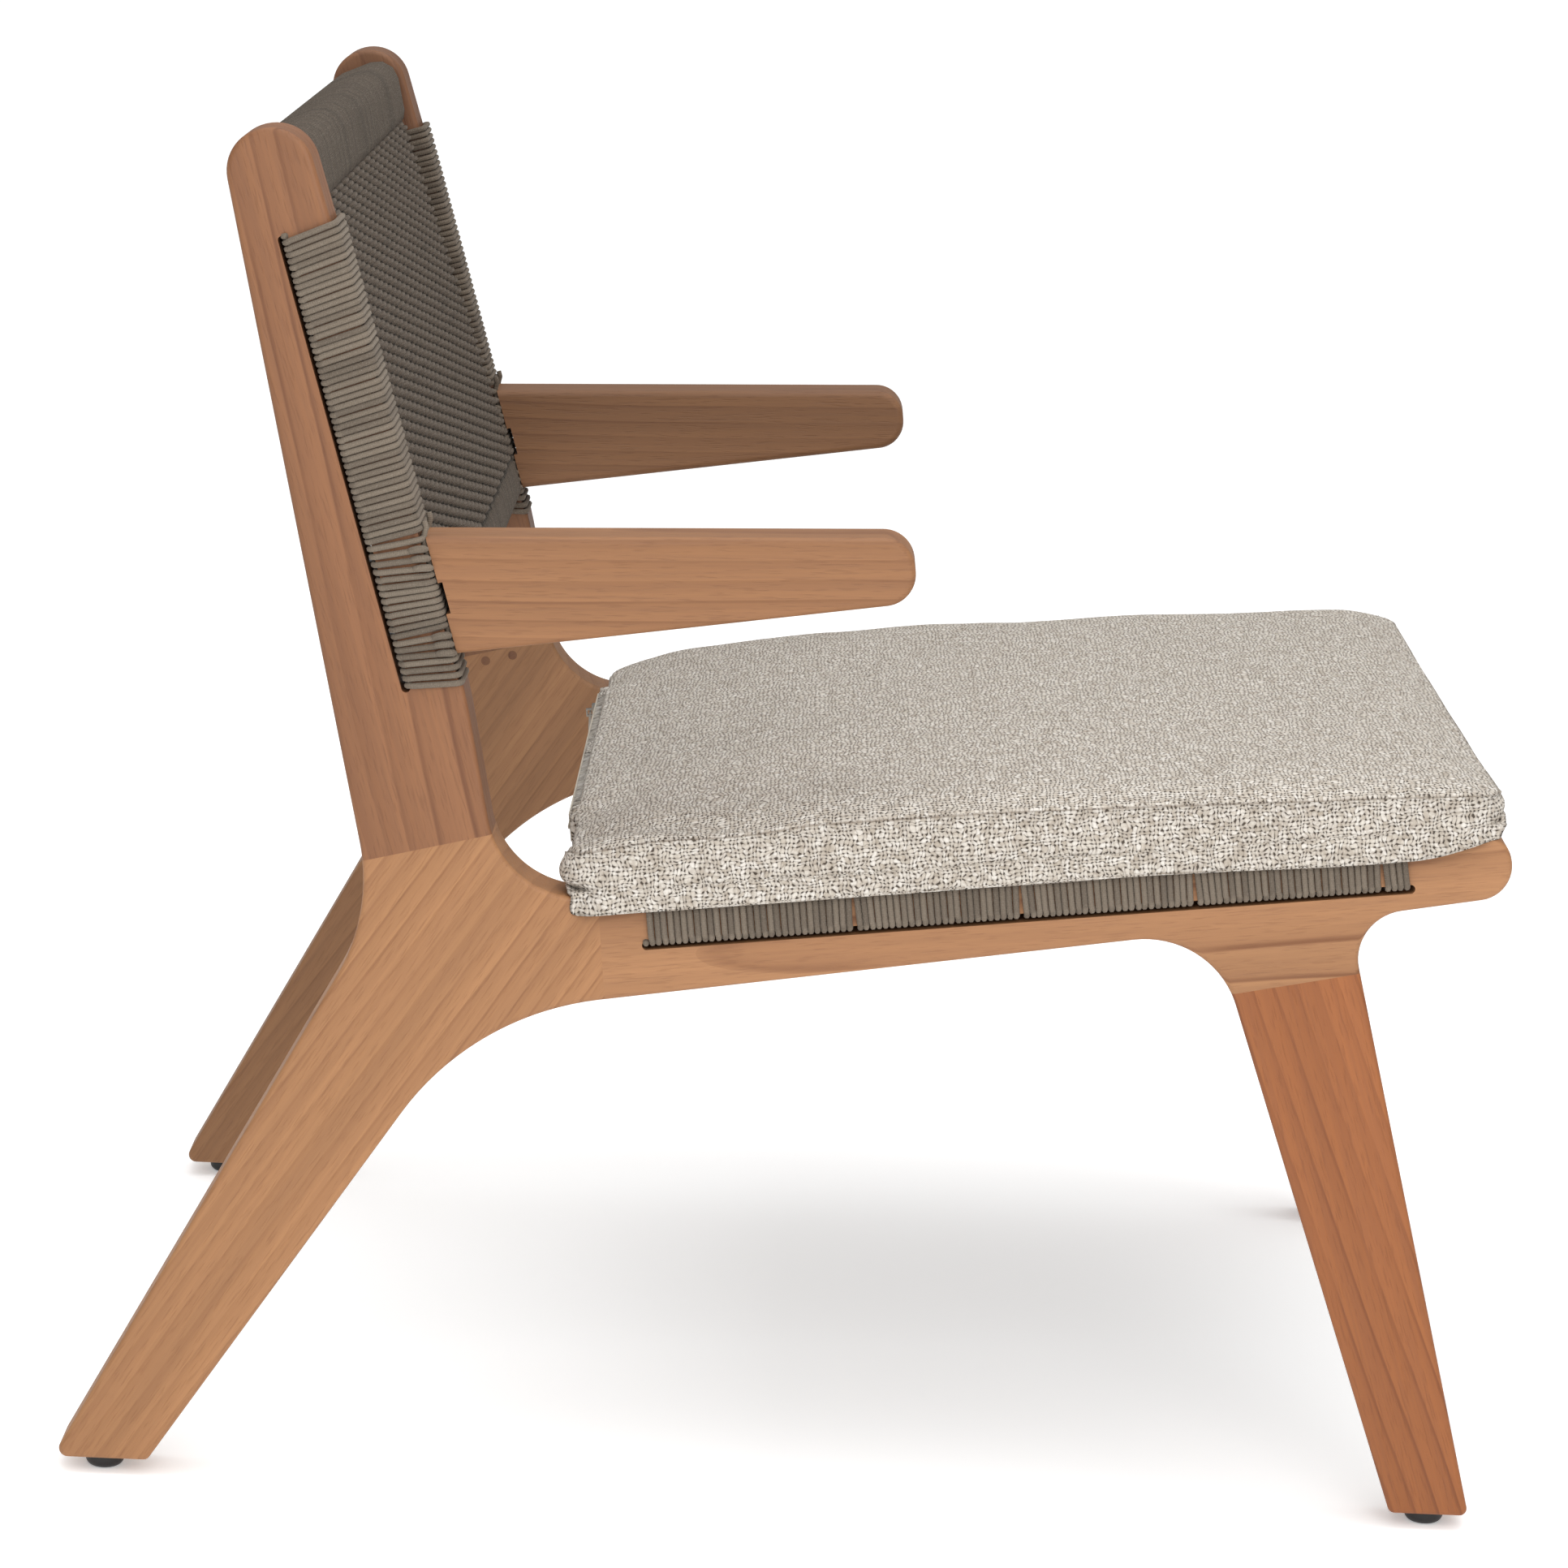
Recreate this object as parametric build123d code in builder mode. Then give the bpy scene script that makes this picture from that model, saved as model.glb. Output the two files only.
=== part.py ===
from build123d import *
import os
from math import atan2, cos, degrees, hypot, radians, sin

# Lounge armchair: two flat shaped teak side frames, two armrests, four crossbars,
# rope wound round the frame laths and woven into a back and a seat, and a loose cushion.
# Millimetres. +Z is up, the chair faces -Y, and it is symmetric about X = 0.
# Side-view shapes are drawn in (forward, up) coordinates: forward is -Y.

# ---- driving dimensions ----
WIDTH = 650.0            # over the outer faces of the two side frames
FRAME_T = 38.0           # thickness of the side frames and armrests
HALF = WIDTH / 2
INNER = HALF - FRAME_T   # inner face of a side frame
MID_T = HALF - FRAME_T / 2
FOOT_Z = 9.0             # underside of the wooden feet, standing on their glides
ROPE = 3.4               # rope diameter
LATH = 26.2              # width of the lath that the rope is wound round
WRAP = LATH + 2 * ROPE   # width of the lath with its rope
SLOT = 5.0               # width of the rope slots
SLOT_RUN_OUT = 4.0       # how far a slot runs past the rope at each end
EDGE_R = 3.0             # rounding of the frame's long edges
ARM_EDGE_R = 4.0         # rounding of the armrest's long edges
FIT = 0.1                # gap between a rope sleeve and the wood in it
SIDE_GAP = 0.2           # gap between a crossbar's rope and the side frames

# Corners of the side frame, clockwise from the top of the post: (forward, up), radius
SIDE_FRAME = [
    ((-320.8, 752.7), 23.5),   # post top, behind
    ((-276.9, 764.5), 23.5),   # post top, in front
    ((-181.0, 461.0), 400.0),  # slight bend in the post's front edge
    ((-155.8, 339.0), 52.0),   # inside corner between back and seat
    ((394.0, 404.6), 19.0),    # tip of the seat rail, above
    ((399.6, 367.4), 19.0),    # tip of the seat rail, below
    ((309.5, 350.9), 27.0),    # rail overhang to front leg
    ((397.9, FOOT_Z), 4.0),    # front foot, toe
    ((353.3, FOOT_Z), 4.0),    # front foot, heel
    ((235.3, 340.4), 53.0),    # front leg to the rail's underside
    ((-170.3, 275.6), 160.0),  # rail's underside to rear leg
    ((-346.8, FOOT_Z), 4.0),   # rear foot, toe
    ((-400.0, FOOT_Z), 5.0),   # rear foot, heel
    ((-227.2, 330.6), 110.0),  # waist between rear leg and post
]

# Glued joints across the frame: rear or lower end, front or upper end
POST_JOINT = ((-233.7, 360.2), (-163.7, 377.9))
RAIL_JOINT = ((-98.2, 286.7), (-104.4, 349.3))
LEG_JOINT = ((248.3, 305.7), (316.9, 320.2))
TENON_T = 12.0
POST_TENON_W = 48.0
POST_TENON_DEPTH = 28.0
RAIL_TENON_W = 36.0
RAIL_TENON_DEPTH = 20.0
LEG_TENON_W = 44.0
LEG_TENON_DEPTH = 26.0
PIN_D = 6.0
PIN_L = 24.0
PIN_PITCH = 18.2
PIN_DROP = 5.5           # how far the lock pins are below the post joint

# Rope lines: the edge of the rope at its slot. The lath is on the line's right.
POST_ROPE = ((-214.0, 459.0), (-285.8, 697.7))
SEAT_ROPE = ((340.6, 368.0), (-74.6, 318.4))

# Slant of the rope's ends: how far each end moves up the line per millimetre across it
POST_SLANT = (-0.25, 0.17)
SEAT_SLANT = (0.0, 0.0)

# Armrest corners before its rear end is cut to the post: (forward, up), radius
ARMREST = [
    ((-223.8, 540.9), 0.0),
    ((60.5, 552.0), 17.5),
    ((64.5, 516.3), 17.5),
    ((-204.3, 474.7), 0.0),
]
PAD_W = 26.0             # width of the armrest's contact pads
PAD_H = 18.0
RELIEF_DEPTH = 2.5       # hollow between the pads, where the rope passes
RELIEF_GAP = 3.0
ARM_BOLTS = (528.0, 488.0)   # height of the bolts where they enter the armrest
ARM_BOLT_RISE = 5.0      # degrees that the arm bolts rise towards the front
BOLT_D = 6.0
BOLT_CLEARANCE = 0.4
BOLT_ROPE_GAP = 1.0      # gap round an arm bolt where it passes through the rope
BOLT_GRIP = 50.0         # from the washer's face to the armrest
BOLT_REACH = 34.0        # length of bolt inside the armrest
HEAD_D = 11.0
HEAD_L = 4.0
HEAD_HOLE_D = 12.4
HEX_D = 5.0
HEX_DEPTH = 2.5
WASHER_T = 1.2
PLUG_GAP = 4.0
POST_DEPTH_MAX = 90.0    # longer than any post section along a bolt
INSERT_D = 10.0
INSERT_START = 5.0
INSERT_END = 36.0

# Crossbar sections: corners as (forward, up), radius
TOP_RAIL = [
    ((-308.5, 716.5), 8.0),
    ((-314.8, 738.0), 8.0),
    ((-279.5, 753.5), 10.0),
    ((-270.5, 713.5), 6.0),
]
FRONT_RAIL = [
    ((361.0, 371.0), 7.0),
    ((362.5, 397.0), 7.0),
    ((390.0, 397.0), 10.0),
    ((389.0, 373.5), 7.0),
]
BAR = LATH               # side of the square back and seat crossbars
BAR_R = 6.0
STUB = 12.0              # depth of the crossbars' stub tenons
STUB_W = 14.0
STUB_R = 3.0
BAR_AT = 20.5            # from a rope's end to the middle of its crossbar

# Cushion, drawn on the sloping seat plane
CUSHION_W = 593.0
CUSHION_L = 518.0
CUSHION_T = 40.0
CUSHION_R = 30.0
CUSHION_EDGE = 12.0
CUSHION_MID = 138.5      # how far forward the middle of the cushion is
CUSHION_SIDE = -31.5     # the loose cushion lies towards the right side
CUSHION_GAP = 0.5
COVER_T = 1.5
ZIP_LENGTH = 370.0
ZIP_REST = 165.0         # where the slider stands when the zip is closed
ZIP_Z = 14.0
TAPE_W = 16.0
TAPE_T = 1.0
TEETH_W = 3.0
TEETH_T = 1.5
ZIP_GAP = 0.3
SLIDER_W = 9.0
SLIDER_H = 10.0
SLIDER_PLATE = 1.2
BRIDGE_W = 3.0           # the slider's loop, which holds the pull
BRIDGE_H = 4.0
BRIDGE_SPAN = 5.0
BRIDGE_T = 1.0
PULL_W = 6.0
PULL_L = 13.0            # from the middle of its top bar to its end
PULL_T = 1.4
PULL_R = 1.2
PULL_EYE_W = 4.2
PULL_EYE_L = 3.3

# Woven panels: corners as (forward, up)
BACK_WEAVE = [(-266.8, 709.6), (-192.6, 505.4), (-199.4, 503.2), (-273.8, 709.6)]
SEAT_WEAVE = [(-41.2, 355.6), (356.8, 403.2), (356.8, 396.2), (-40.6, 348.6)]

# Glides
GLIDE_D = 22.0
GLIDE_FLAT_D = 12.0
GLIDE_ROUND = (GLIDE_D - GLIDE_FLAT_D) / 2
NAIL_D = 4.0
NAIL_L = 20.0            # length of nail in the wood
NAIL_HEAD_D = 9.0
NAIL_HEAD_T = 1.6
NAIL_FOOT = 3.0          # underside of the nail's head
REAR_GLIDE = -372.6
FRONT_GLIDE = 374.6


# ---- plane and outline helpers ----
def side_plane(x):
    """Side-view plane at x: local x is forward, local y is up, its normal is -X."""
    return Plane(origin=(x, 0, 0), x_dir=(0, -1, 0), z_dir=(-1, 0, 0))


def unit(line):
    """Unit vector along a line in the side view."""
    (x0, y0), (x1, y1) = line
    length = hypot(x1 - x0, y1 - y0)
    return (x1 - x0) / length, (y1 - y0) / length


def along(line, distance, sideways=0.0):
    """Point at a distance along a line, moved sideways to the line's right."""
    forward, up = unit(line)
    return (line[0][0] + forward * distance + up * sideways,
            line[0][1] + up * distance - forward * sideways)


def length_of(line):
    """Length of a line."""
    return hypot(line[1][0] - line[0][0], line[1][1] - line[0][1])


def heading(line):
    """Angle of a line in the side view, in degrees from forward."""
    forward, up = unit(line)
    return degrees(atan2(up, forward))


def across_plane(line, x=0.0):
    """Plane in a joint's face: local x runs along the joint, the normal across it."""
    forward, up = unit(line)
    mid = along(line, length_of(line) / 2)
    return Plane(origin=(x, -mid[0], mid[1]), x_dir=(0, -forward, up), z_dir=(0, up, forward))


def rounded(corners):
    """Closed outline through (forward, up) corners, each rounded to its own radius."""
    points = [point for point, _ in corners]
    radii = [radius for _, radius in corners]
    with BuildLine(Plane.XY) as outline:
        FilletPolyline(*points, radius=radii, close=True)
    return outline.wire()


def polygon(points):
    """Closed outline with sharp corners."""
    with BuildLine(Plane.XY) as outline:
        Polyline(*points, close=True)
    return outline.wire()


def strip(line, start, end, near, far):
    """Outline of a strip that follows a line, between two distances on its right."""
    return polygon([along(line, start, near), along(line, end, near),
                    along(line, end, far), along(line, start, far)])


def wound_strip(line, slants, near, far):
    """Outline of the rope's band on a lath, with its slanted ends, between two distances."""
    run = length_of(line)
    low, high = slants
    return polygon([along(line, low * near, near), along(line, run + high * near, near),
                    along(line, run + high * far, far), along(line, low * far, far)])


def mirrored(piece):
    """The same piece on the chair's other side."""
    with BuildPart() as copy:
        mirror(piece, about=Plane.YZ)
    return copy.part


def both_sides(piece):
    """A piece and its mirror image, as two solids of one node."""
    with BuildPart() as pair:
        add(piece)
        mirror(piece, about=Plane.YZ)
    return pair.part


def write(piece, name):
    """Label a finished piece and write its STEP file."""
    piece.label = name
    export_step(piece, f"parts/{name}.step")


os.makedirs("parts", exist_ok=True)


# ---- loose tenons and pins of the glued frame joints ----
def loose_tenon(joint, width, depth):
    """Loose tenon with round edges, reaching the same depth into both pieces."""
    with BuildPart() as tenon:
        with BuildSketch(across_plane(joint, -MID_T)):
            SlotOverall(width, TENON_T)
        extrude(amount=depth, both=True)
    return tenon.part


post_tenon = loose_tenon(POST_JOINT, POST_TENON_W, POST_TENON_DEPTH)
rail_tenon = loose_tenon(RAIL_JOINT, RAIL_TENON_W, RAIL_TENON_DEPTH)
leg_tenon = loose_tenon(LEG_JOINT, LEG_TENON_W, LEG_TENON_DEPTH)

pin_mid = length_of(POST_JOINT) / 2
pin_spots = [along(POST_JOINT, pin_mid + side * PIN_PITCH / 2, PIN_DROP) for side in (-1, 1)]
with BuildPart() as pins:
    with BuildSketch(side_plane(-INNER)):
        with Locations(*pin_spots):
            Circle(PIN_D / 2)
    extrude(amount=PIN_L)

with BuildPart() as pinned_tenon:
    add(post_tenon)
    add(pins.part, mode=Mode.SUBTRACT)

write(both_sides(pinned_tenon.part), "post_tenons")
write(both_sides(rail_tenon), "rail_tenons")
write(both_sides(leg_tenon), "leg_tenons")
write(both_sides(pins.part), "lock_pins")


# ---- armrest bolts, which cross the post from behind ----
def rope_front(height):
    """How far forward the front of the rope on the post is, at a height."""
    foot, top = along(POST_ROPE, 0, WRAP), along(POST_ROPE, length_of(POST_ROPE), WRAP)
    share = (height - foot[1]) / (top[1] - foot[1])
    return foot[0] + share * (top[0] - foot[0])


def bolt_plane(height):
    """Plane on an arm bolt's axis where it enters the armrest, looking forward."""
    rise = radians(ARM_BOLT_RISE)
    return Plane(origin=(-MID_T, -rope_front(height), height), x_dir=(1, 0, 0),
                 z_dir=(0, -cos(rise), sin(rise)))


def on_bolts(diameter, start, end):
    """A round rod on each arm bolt's axis between two stations."""
    with BuildPart() as rods:
        for height in ARM_BOLTS:
            with BuildSketch(bolt_plane(height).offset(start)):
                Circle(diameter / 2)
            extrude(amount=end - start)
    return rods.part


bolt_shanks = on_bolts(BOLT_D, -BOLT_GRIP, BOLT_REACH)
bolt_holes = on_bolts(BOLT_D + BOLT_CLEARANCE, -BOLT_GRIP, 0)
head_holes = on_bolts(HEAD_HOLE_D, -POST_DEPTH_MAX, -BOLT_GRIP)
insert_holes = on_bolts(INSERT_D, 0, INSERT_END)
bolt_tips = on_bolts(BOLT_D, 0, BOLT_REACH)

with BuildPart() as arm_bolts:
    add(bolt_shanks)
    add(on_bolts(HEAD_D, -BOLT_GRIP - WASHER_T - HEAD_L, -BOLT_GRIP - WASHER_T))
    add(on_bolts(BOLT_D, -BOLT_GRIP - WASHER_T, -BOLT_GRIP))
    hex_foot = -BOLT_GRIP - WASHER_T - HEAD_L
    for entry in ARM_BOLTS:
        with BuildSketch(bolt_plane(entry).offset(hex_foot)):
            RegularPolygon(HEX_D / 2, 6)
        extrude(amount=HEX_DEPTH, mode=Mode.SUBTRACT)

with BuildPart() as arm_washers:
    add(on_bolts(HEAD_HOLE_D - 2 * FIT, -BOLT_GRIP - WASHER_T, -BOLT_GRIP))
    add(on_bolts(BOLT_D, -BOLT_GRIP - WASHER_T, -BOLT_GRIP), mode=Mode.SUBTRACT)

with BuildPart() as arm_inserts:
    add(on_bolts(INSERT_D, INSERT_START, INSERT_END))
    add(bolt_tips, mode=Mode.SUBTRACT)

write(both_sides(arm_bolts.part), "arm_bolts")
write(both_sides(arm_washers.part), "arm_bolt_washers")
write(both_sides(arm_inserts.part), "arm_inserts")


# ---- crossbars and their rope sleeves ----
def square_bar(rope_line, distance):
    """Corners of a square crossbar in line with a lath, at a distance along its rope."""
    half = BAR / 2
    centre = ROPE + half
    steps = ((-half, -half), (half, -half), (half, half), (-half, half))
    return [(along(rope_line, distance + a, centre + b), BAR_R) for a, b in steps]


def bar_solid(corners, length, grow=0.0):
    """Crossbar section run from side to side."""
    with BuildPart() as bar:
        with BuildSketch(side_plane(length / 2)):
            make_face(rounded(corners))
            if grow:
                offset(amount=grow)
        extrude(amount=length)
    return bar.part


def stub_solid(corners):
    """The square stub tenons of a crossbar, as one rod through it."""
    centre = (sum(point[0] for point, _ in corners) / len(corners),
              sum(point[1] for point, _ in corners) / len(corners))
    reach = 2 * (INNER + STUB)
    with BuildPart() as stubs:
        with BuildSketch(side_plane(reach / 2)):
            with Locations(centre):
                RectangleRounded(STUB_W, STUB_W, STUB_R)
        extrude(amount=reach)
    return stubs.part


def crossbar(corners):
    """Crossbar with a stub tenon at each end."""
    with BuildPart() as bar:
        add(bar_solid(corners, 2 * INNER))
        add(stub_solid(corners))
    return bar.part


def sleeve(corners, length):
    """Rope wound round a crossbar, as a plain tube."""
    with BuildPart() as tube:
        add(bar_solid(corners, length, ROPE))
        add(bar_solid(corners, length), mode=Mode.SUBTRACT)
    return tube.part


BACK_BAR = square_bar(POST_ROPE, BAR_AT)
SEAT_BAR = square_bar(SEAT_ROPE, length_of(SEAT_ROPE) - BAR_AT)
FULL_SPAN = 2 * (INNER - SIDE_GAP)
INSIDE_SPAN = 2 * (INNER - ROPE - SIDE_GAP)

write(crossbar(TOP_RAIL), "back_top_rail")
write(crossbar(BACK_BAR), "back_bottom_rail")
write(crossbar(FRONT_RAIL), "seat_front_rail")
write(crossbar(SEAT_BAR), "seat_rear_rail")
write(sleeve(TOP_RAIL, FULL_SPAN), "back_top_rope")
write(sleeve(BACK_BAR, INSIDE_SPAN), "back_bottom_rope")
write(sleeve(FRONT_RAIL, FULL_SPAN), "seat_front_rope")
write(sleeve(SEAT_BAR, INSIDE_SPAN), "seat_rear_rope")


# ---- glides, nailed into the feet ----
def foot_disc(diameter, forward, low, high):
    """A round disc or rod on a foot's vertical axis between two heights."""
    with BuildPart() as disc:
        with BuildSketch(Plane(origin=(-MID_T, -forward, low))):
            Circle(diameter / 2)
        extrude(amount=high - low)
    return disc.part


def nail_solid(forward):
    """Steel nail of a glide, its head buried in the glide."""
    with BuildPart() as nail:
        add(foot_disc(NAIL_HEAD_D, forward, NAIL_FOOT, NAIL_FOOT + NAIL_HEAD_T))
        add(foot_disc(NAIL_D, forward, NAIL_FOOT, FOOT_Z + NAIL_L))
    return nail.part


def glide_solid(forward):
    """Domed plastic glide with a flat tread."""
    with BuildPart() as glide:
        add(foot_disc(GLIDE_D, forward, 0, FOOT_Z))
        tread = glide.faces().sort_by(Axis.Z)[0]
        fillet(tread.edges(), radius=GLIDE_ROUND)
        add(nail_solid(forward), mode=Mode.SUBTRACT)
    return glide.part


rear_nail, front_nail = nail_solid(REAR_GLIDE), nail_solid(FRONT_GLIDE)
with BuildPart() as side_nails:
    add([rear_nail, front_nail])
with BuildPart() as side_glides:
    add([glide_solid(REAR_GLIDE), glide_solid(FRONT_GLIDE)])

write(both_sides(side_nails.part), "glide_nails")
write(both_sides(side_glides.part), "foot_glides")


# ---- side frames: one outline, cut at the glued joints ----
def frame_blank():
    """The whole side frame in one piece, before it is cut at the joints."""
    with BuildPart() as blank:
        with BuildSketch(side_plane(-INNER)):
            make_face(rounded(SIDE_FRAME))
        extrude(amount=FRAME_T)
        fillet(blank.faces().filter_by(Axis.X).edges(), radius=EDGE_R)
    return blank.part


def rope_slot(rope_line, slants):
    """The slot behind a lath and the shallow rebate in front of it, as a cutter."""
    run = length_of(rope_line)
    with BuildPart() as cutter:
        with BuildSketch(side_plane(-INNER + EDGE_R)):
            with Locations(along(rope_line, run / 2, ROPE - SLOT / 2)):
                SlotOverall(run + 2 * SLOT_RUN_OUT, SLOT, rotation=heading(rope_line))
            make_face(wound_strip(rope_line, slants, ROPE + LATH, 2 * WRAP))
        extrude(amount=FRAME_T + 2 * EDGE_R)
    return cutter.part


blank = frame_blank()
post_cut = across_plane(POST_JOINT)
rail_cut = across_plane(RAIL_JOINT)
leg_cut = across_plane(LEG_JOINT)

with BuildPart() as back_post:
    add(blank)
    split(bisect_by=post_cut, keep=Keep.TOP)
    raw_post = back_post.part
    post_slot = rope_slot(POST_ROPE, POST_SLANT)
    add([post_slot, post_tenon, bolt_holes, head_holes], mode=Mode.SUBTRACT)
    add([stub_solid(TOP_RAIL), stub_solid(BACK_BAR)], mode=Mode.SUBTRACT)

with BuildPart() as rear_leg:
    add(blank)
    split(bisect_by=post_cut, keep=Keep.BOTTOM)
    split(bisect_by=rail_cut, keep=Keep.TOP)
    add([post_tenon, rail_tenon, pins.part, rear_nail], mode=Mode.SUBTRACT)

with BuildPart() as seat_rail:
    add(blank)
    split(bisect_by=rail_cut, keep=Keep.BOTTOM)
    split(bisect_by=leg_cut, keep=Keep.TOP)
    seat_slot = rope_slot(SEAT_ROPE, SEAT_SLANT)
    add([seat_slot, rail_tenon, leg_tenon], mode=Mode.SUBTRACT)
    add([stub_solid(FRONT_RAIL), stub_solid(SEAT_BAR)], mode=Mode.SUBTRACT)

with BuildPart() as front_leg:
    add(blank)
    split(bisect_by=rail_cut, keep=Keep.BOTTOM)
    split(bisect_by=leg_cut, keep=Keep.BOTTOM)
    add([leg_tenon, front_nail], mode=Mode.SUBTRACT)

with BuildPart() as arm_plugs:
    add(on_bolts(HEAD_HOLE_D, -POST_DEPTH_MAX, -BOLT_GRIP - WASHER_T - HEAD_L - PLUG_GAP))
    add(raw_post, mode=Mode.INTERSECT)

for name, piece in (("back_post", back_post), ("rear_leg", rear_leg),
                    ("seat_rail", seat_rail), ("front_leg", front_leg)):
    write(piece.part, f"right_{name}")
    write(mirrored(piece.part), f"left_{name}")
write(both_sides(arm_plugs.part), "arm_bolt_plugs")


# ---- armrests ----
front_line = (along(POST_ROPE, 0, WRAP), along(POST_ROPE, length_of(POST_ROPE), WRAP))
front_dir = unit(front_line)
front_face = Plane(origin=(0, -front_line[0][0], front_line[0][1]), x_dir=(1, 0, 0),
                   z_dir=(0, -front_dir[1], -front_dir[0]))
pad_stations = [(height - front_line[0][1]) / front_dir[1] for height in ARM_BOLTS]


def pad_block(width, grow):
    """The armrest's two contact pads, which bridge the rope's thickness to the post."""
    with BuildPart() as pads:
        for station in pad_stations:
            with BuildSketch(side_plane(-MID_T + width / 2)):
                half = PAD_H / 2 + grow
                make_face(strip(front_line, station - half, station + half, -2 * ROPE, ROPE))
            extrude(amount=width)
    return pads.part


with BuildPart() as armrest:
    with BuildSketch(side_plane(-INNER)):
        make_face(rounded(ARMREST))
    extrude(amount=FRAME_T)
    fillet(armrest.faces().filter_by(Axis.X).edges(), radius=ARM_EDGE_R)
    split(bisect_by=front_face, keep=Keep.TOP)
    with BuildSketch(side_plane(-INNER)):
        low, high = min(pad_stations), max(pad_stations)
        edge = PAD_H / 2 + RELIEF_GAP
        make_face(strip(front_line, low + edge, high - edge, -RELIEF_DEPTH, RELIEF_DEPTH))
    extrude(amount=FRAME_T, mode=Mode.SUBTRACT)
    add(pad_block(PAD_W, 0))
    add([back_post.part, insert_holes], mode=Mode.SUBTRACT)
    add([bolt_holes, head_holes], mode=Mode.SUBTRACT)

write(armrest.part, "right_armrest")
write(mirrored(armrest.part), "left_armrest")


# ---- rope wound round the laths ----
def lath_rope(rope_line, slants):
    """Rope wound round a lath, as a plain sleeve through the slot."""
    run = length_of(rope_line)
    with BuildPart() as wound:
        with BuildSketch(side_plane(-INNER + ROPE)):
            make_face(wound_strip(rope_line, slants, 0, WRAP))
        extrude(amount=FRAME_T + 2 * ROPE)
        with BuildSketch(side_plane(-INNER + FIT)):
            make_face(strip(rope_line, -WRAP, run + WRAP, ROPE - FIT, ROPE + LATH + FIT))
        extrude(amount=FRAME_T + 2 * FIT, mode=Mode.SUBTRACT)
    return wound.part


with BuildPart() as post_rope:
    add(lath_rope(POST_ROPE, POST_SLANT))
    add(pad_block(PAD_W + 2 * FIT, FIT), mode=Mode.SUBTRACT)
    add(on_bolts(BOLT_D + 2 * BOLT_ROPE_GAP, -BOLT_GRIP, 0), mode=Mode.SUBTRACT)
    add(bar_solid(BACK_BAR, 2 * INNER, FIT), mode=Mode.SUBTRACT)

with BuildPart() as seat_rope:
    add(lath_rope(SEAT_ROPE, SEAT_SLANT))
    add(bar_solid(SEAT_BAR, 2 * INNER, FIT), mode=Mode.SUBTRACT)

write(post_rope.part, "right_post_rope")
write(mirrored(post_rope.part), "left_post_rope")
write(seat_rope.part, "right_seat_rope")
write(mirrored(seat_rope.part), "left_seat_rope")


# ---- woven back and seat ----
def woven_panel(corners):
    """Woven rope panel, as a plain sheet between the side frames."""
    with BuildPart() as panel:
        with BuildSketch(side_plane(INSIDE_SPAN / 2)):
            make_face(polygon(corners))
        extrude(amount=INSIDE_SPAN)
    return panel.part


write(woven_panel(BACK_WEAVE), "back_weave")
write(woven_panel(SEAT_WEAVE), "seat_weave")


# ---- cushion, on the slope of the seat ----
seat_forward, seat_up = unit(SEAT_ROPE[::-1])
from_front = (SEAT_ROPE[0][0] - CUSHION_MID) / seat_forward
cushion_foot = along(SEAT_ROPE, from_front, WRAP + CUSHION_GAP)
seat_plane = Plane(origin=(CUSHION_SIDE, -cushion_foot[0], cushion_foot[1]), x_dir=(1, 0, 0),
                   z_dir=(0, seat_up, seat_forward))
CUSHION_BACK = CUSHION_L / 2


def cushion_block(inset):
    """Cushion's outer shape, drawn in from its surface by the inset."""
    with BuildPart() as block:
        with BuildSketch(seat_plane.offset(inset)):
            RectangleRounded(CUSHION_W - 2 * inset, CUSHION_L - 2 * inset, CUSHION_R - inset)
        extrude(amount=CUSHION_T - 2 * inset)
        rims = block.faces().filter_by(seat_plane).edges()
        fillet(rims, radius=CUSHION_EDGE - inset)
    return block.part


def rear_strip(width, low, high, near, far, at=0.0):
    """A block on the cushion's rear side: its width, height range and depth range."""
    with BuildPart() as block:
        with BuildSketch(seat_plane.offset(low)):
            with Locations((at, CUSHION_BACK + (near + far) / 2)):
                Rectangle(width, far - near)
        extrude(amount=high - low)
    return block.part


with BuildPart() as cushion_core:
    add(cushion_block(COVER_T))

with BuildPart() as cushion_cover:
    add(cushion_block(0))
    add(cushion_block(COVER_T), mode=Mode.SUBTRACT)

with BuildPart() as zip_tape:
    add(rear_strip(ZIP_LENGTH, ZIP_Z - TAPE_W / 2, ZIP_Z + TAPE_W / 2, 0, TAPE_T))

teeth_far = TAPE_T + TEETH_T
with BuildPart() as zip_teeth:
    teeth_low, teeth_high = ZIP_Z - TEETH_W / 2, ZIP_Z + TEETH_W / 2
    add(rear_strip(ZIP_LENGTH, teeth_low, teeth_high, TAPE_T, teeth_far))

with BuildPart() as zip_slider:
    near, far = TAPE_T + ZIP_GAP, teeth_far + ZIP_GAP + SLIDER_PLATE
    slider_low, slider_high = ZIP_Z - SLIDER_H / 2, ZIP_Z + SLIDER_H / 2
    add(rear_strip(SLIDER_W, slider_low, slider_high, near, far, ZIP_REST))
    channel_low, channel_high = teeth_low - ZIP_GAP, teeth_high + ZIP_GAP
    add(rear_strip(SLIDER_W, channel_low, channel_high, near, teeth_far + ZIP_GAP, ZIP_REST),
        mode=Mode.SUBTRACT)
    bridge_low, bridge_high = ZIP_Z - BRIDGE_SPAN / 2, ZIP_Z + BRIDGE_SPAN / 2
    add(rear_strip(BRIDGE_W, bridge_low, bridge_high, far, far + BRIDGE_H, ZIP_REST))
    add(rear_strip(BRIDGE_W, bridge_low + BRIDGE_T, bridge_high - BRIDGE_T, far,
                   far + BRIDGE_H - BRIDGE_T, ZIP_REST), mode=Mode.SUBTRACT)

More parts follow.
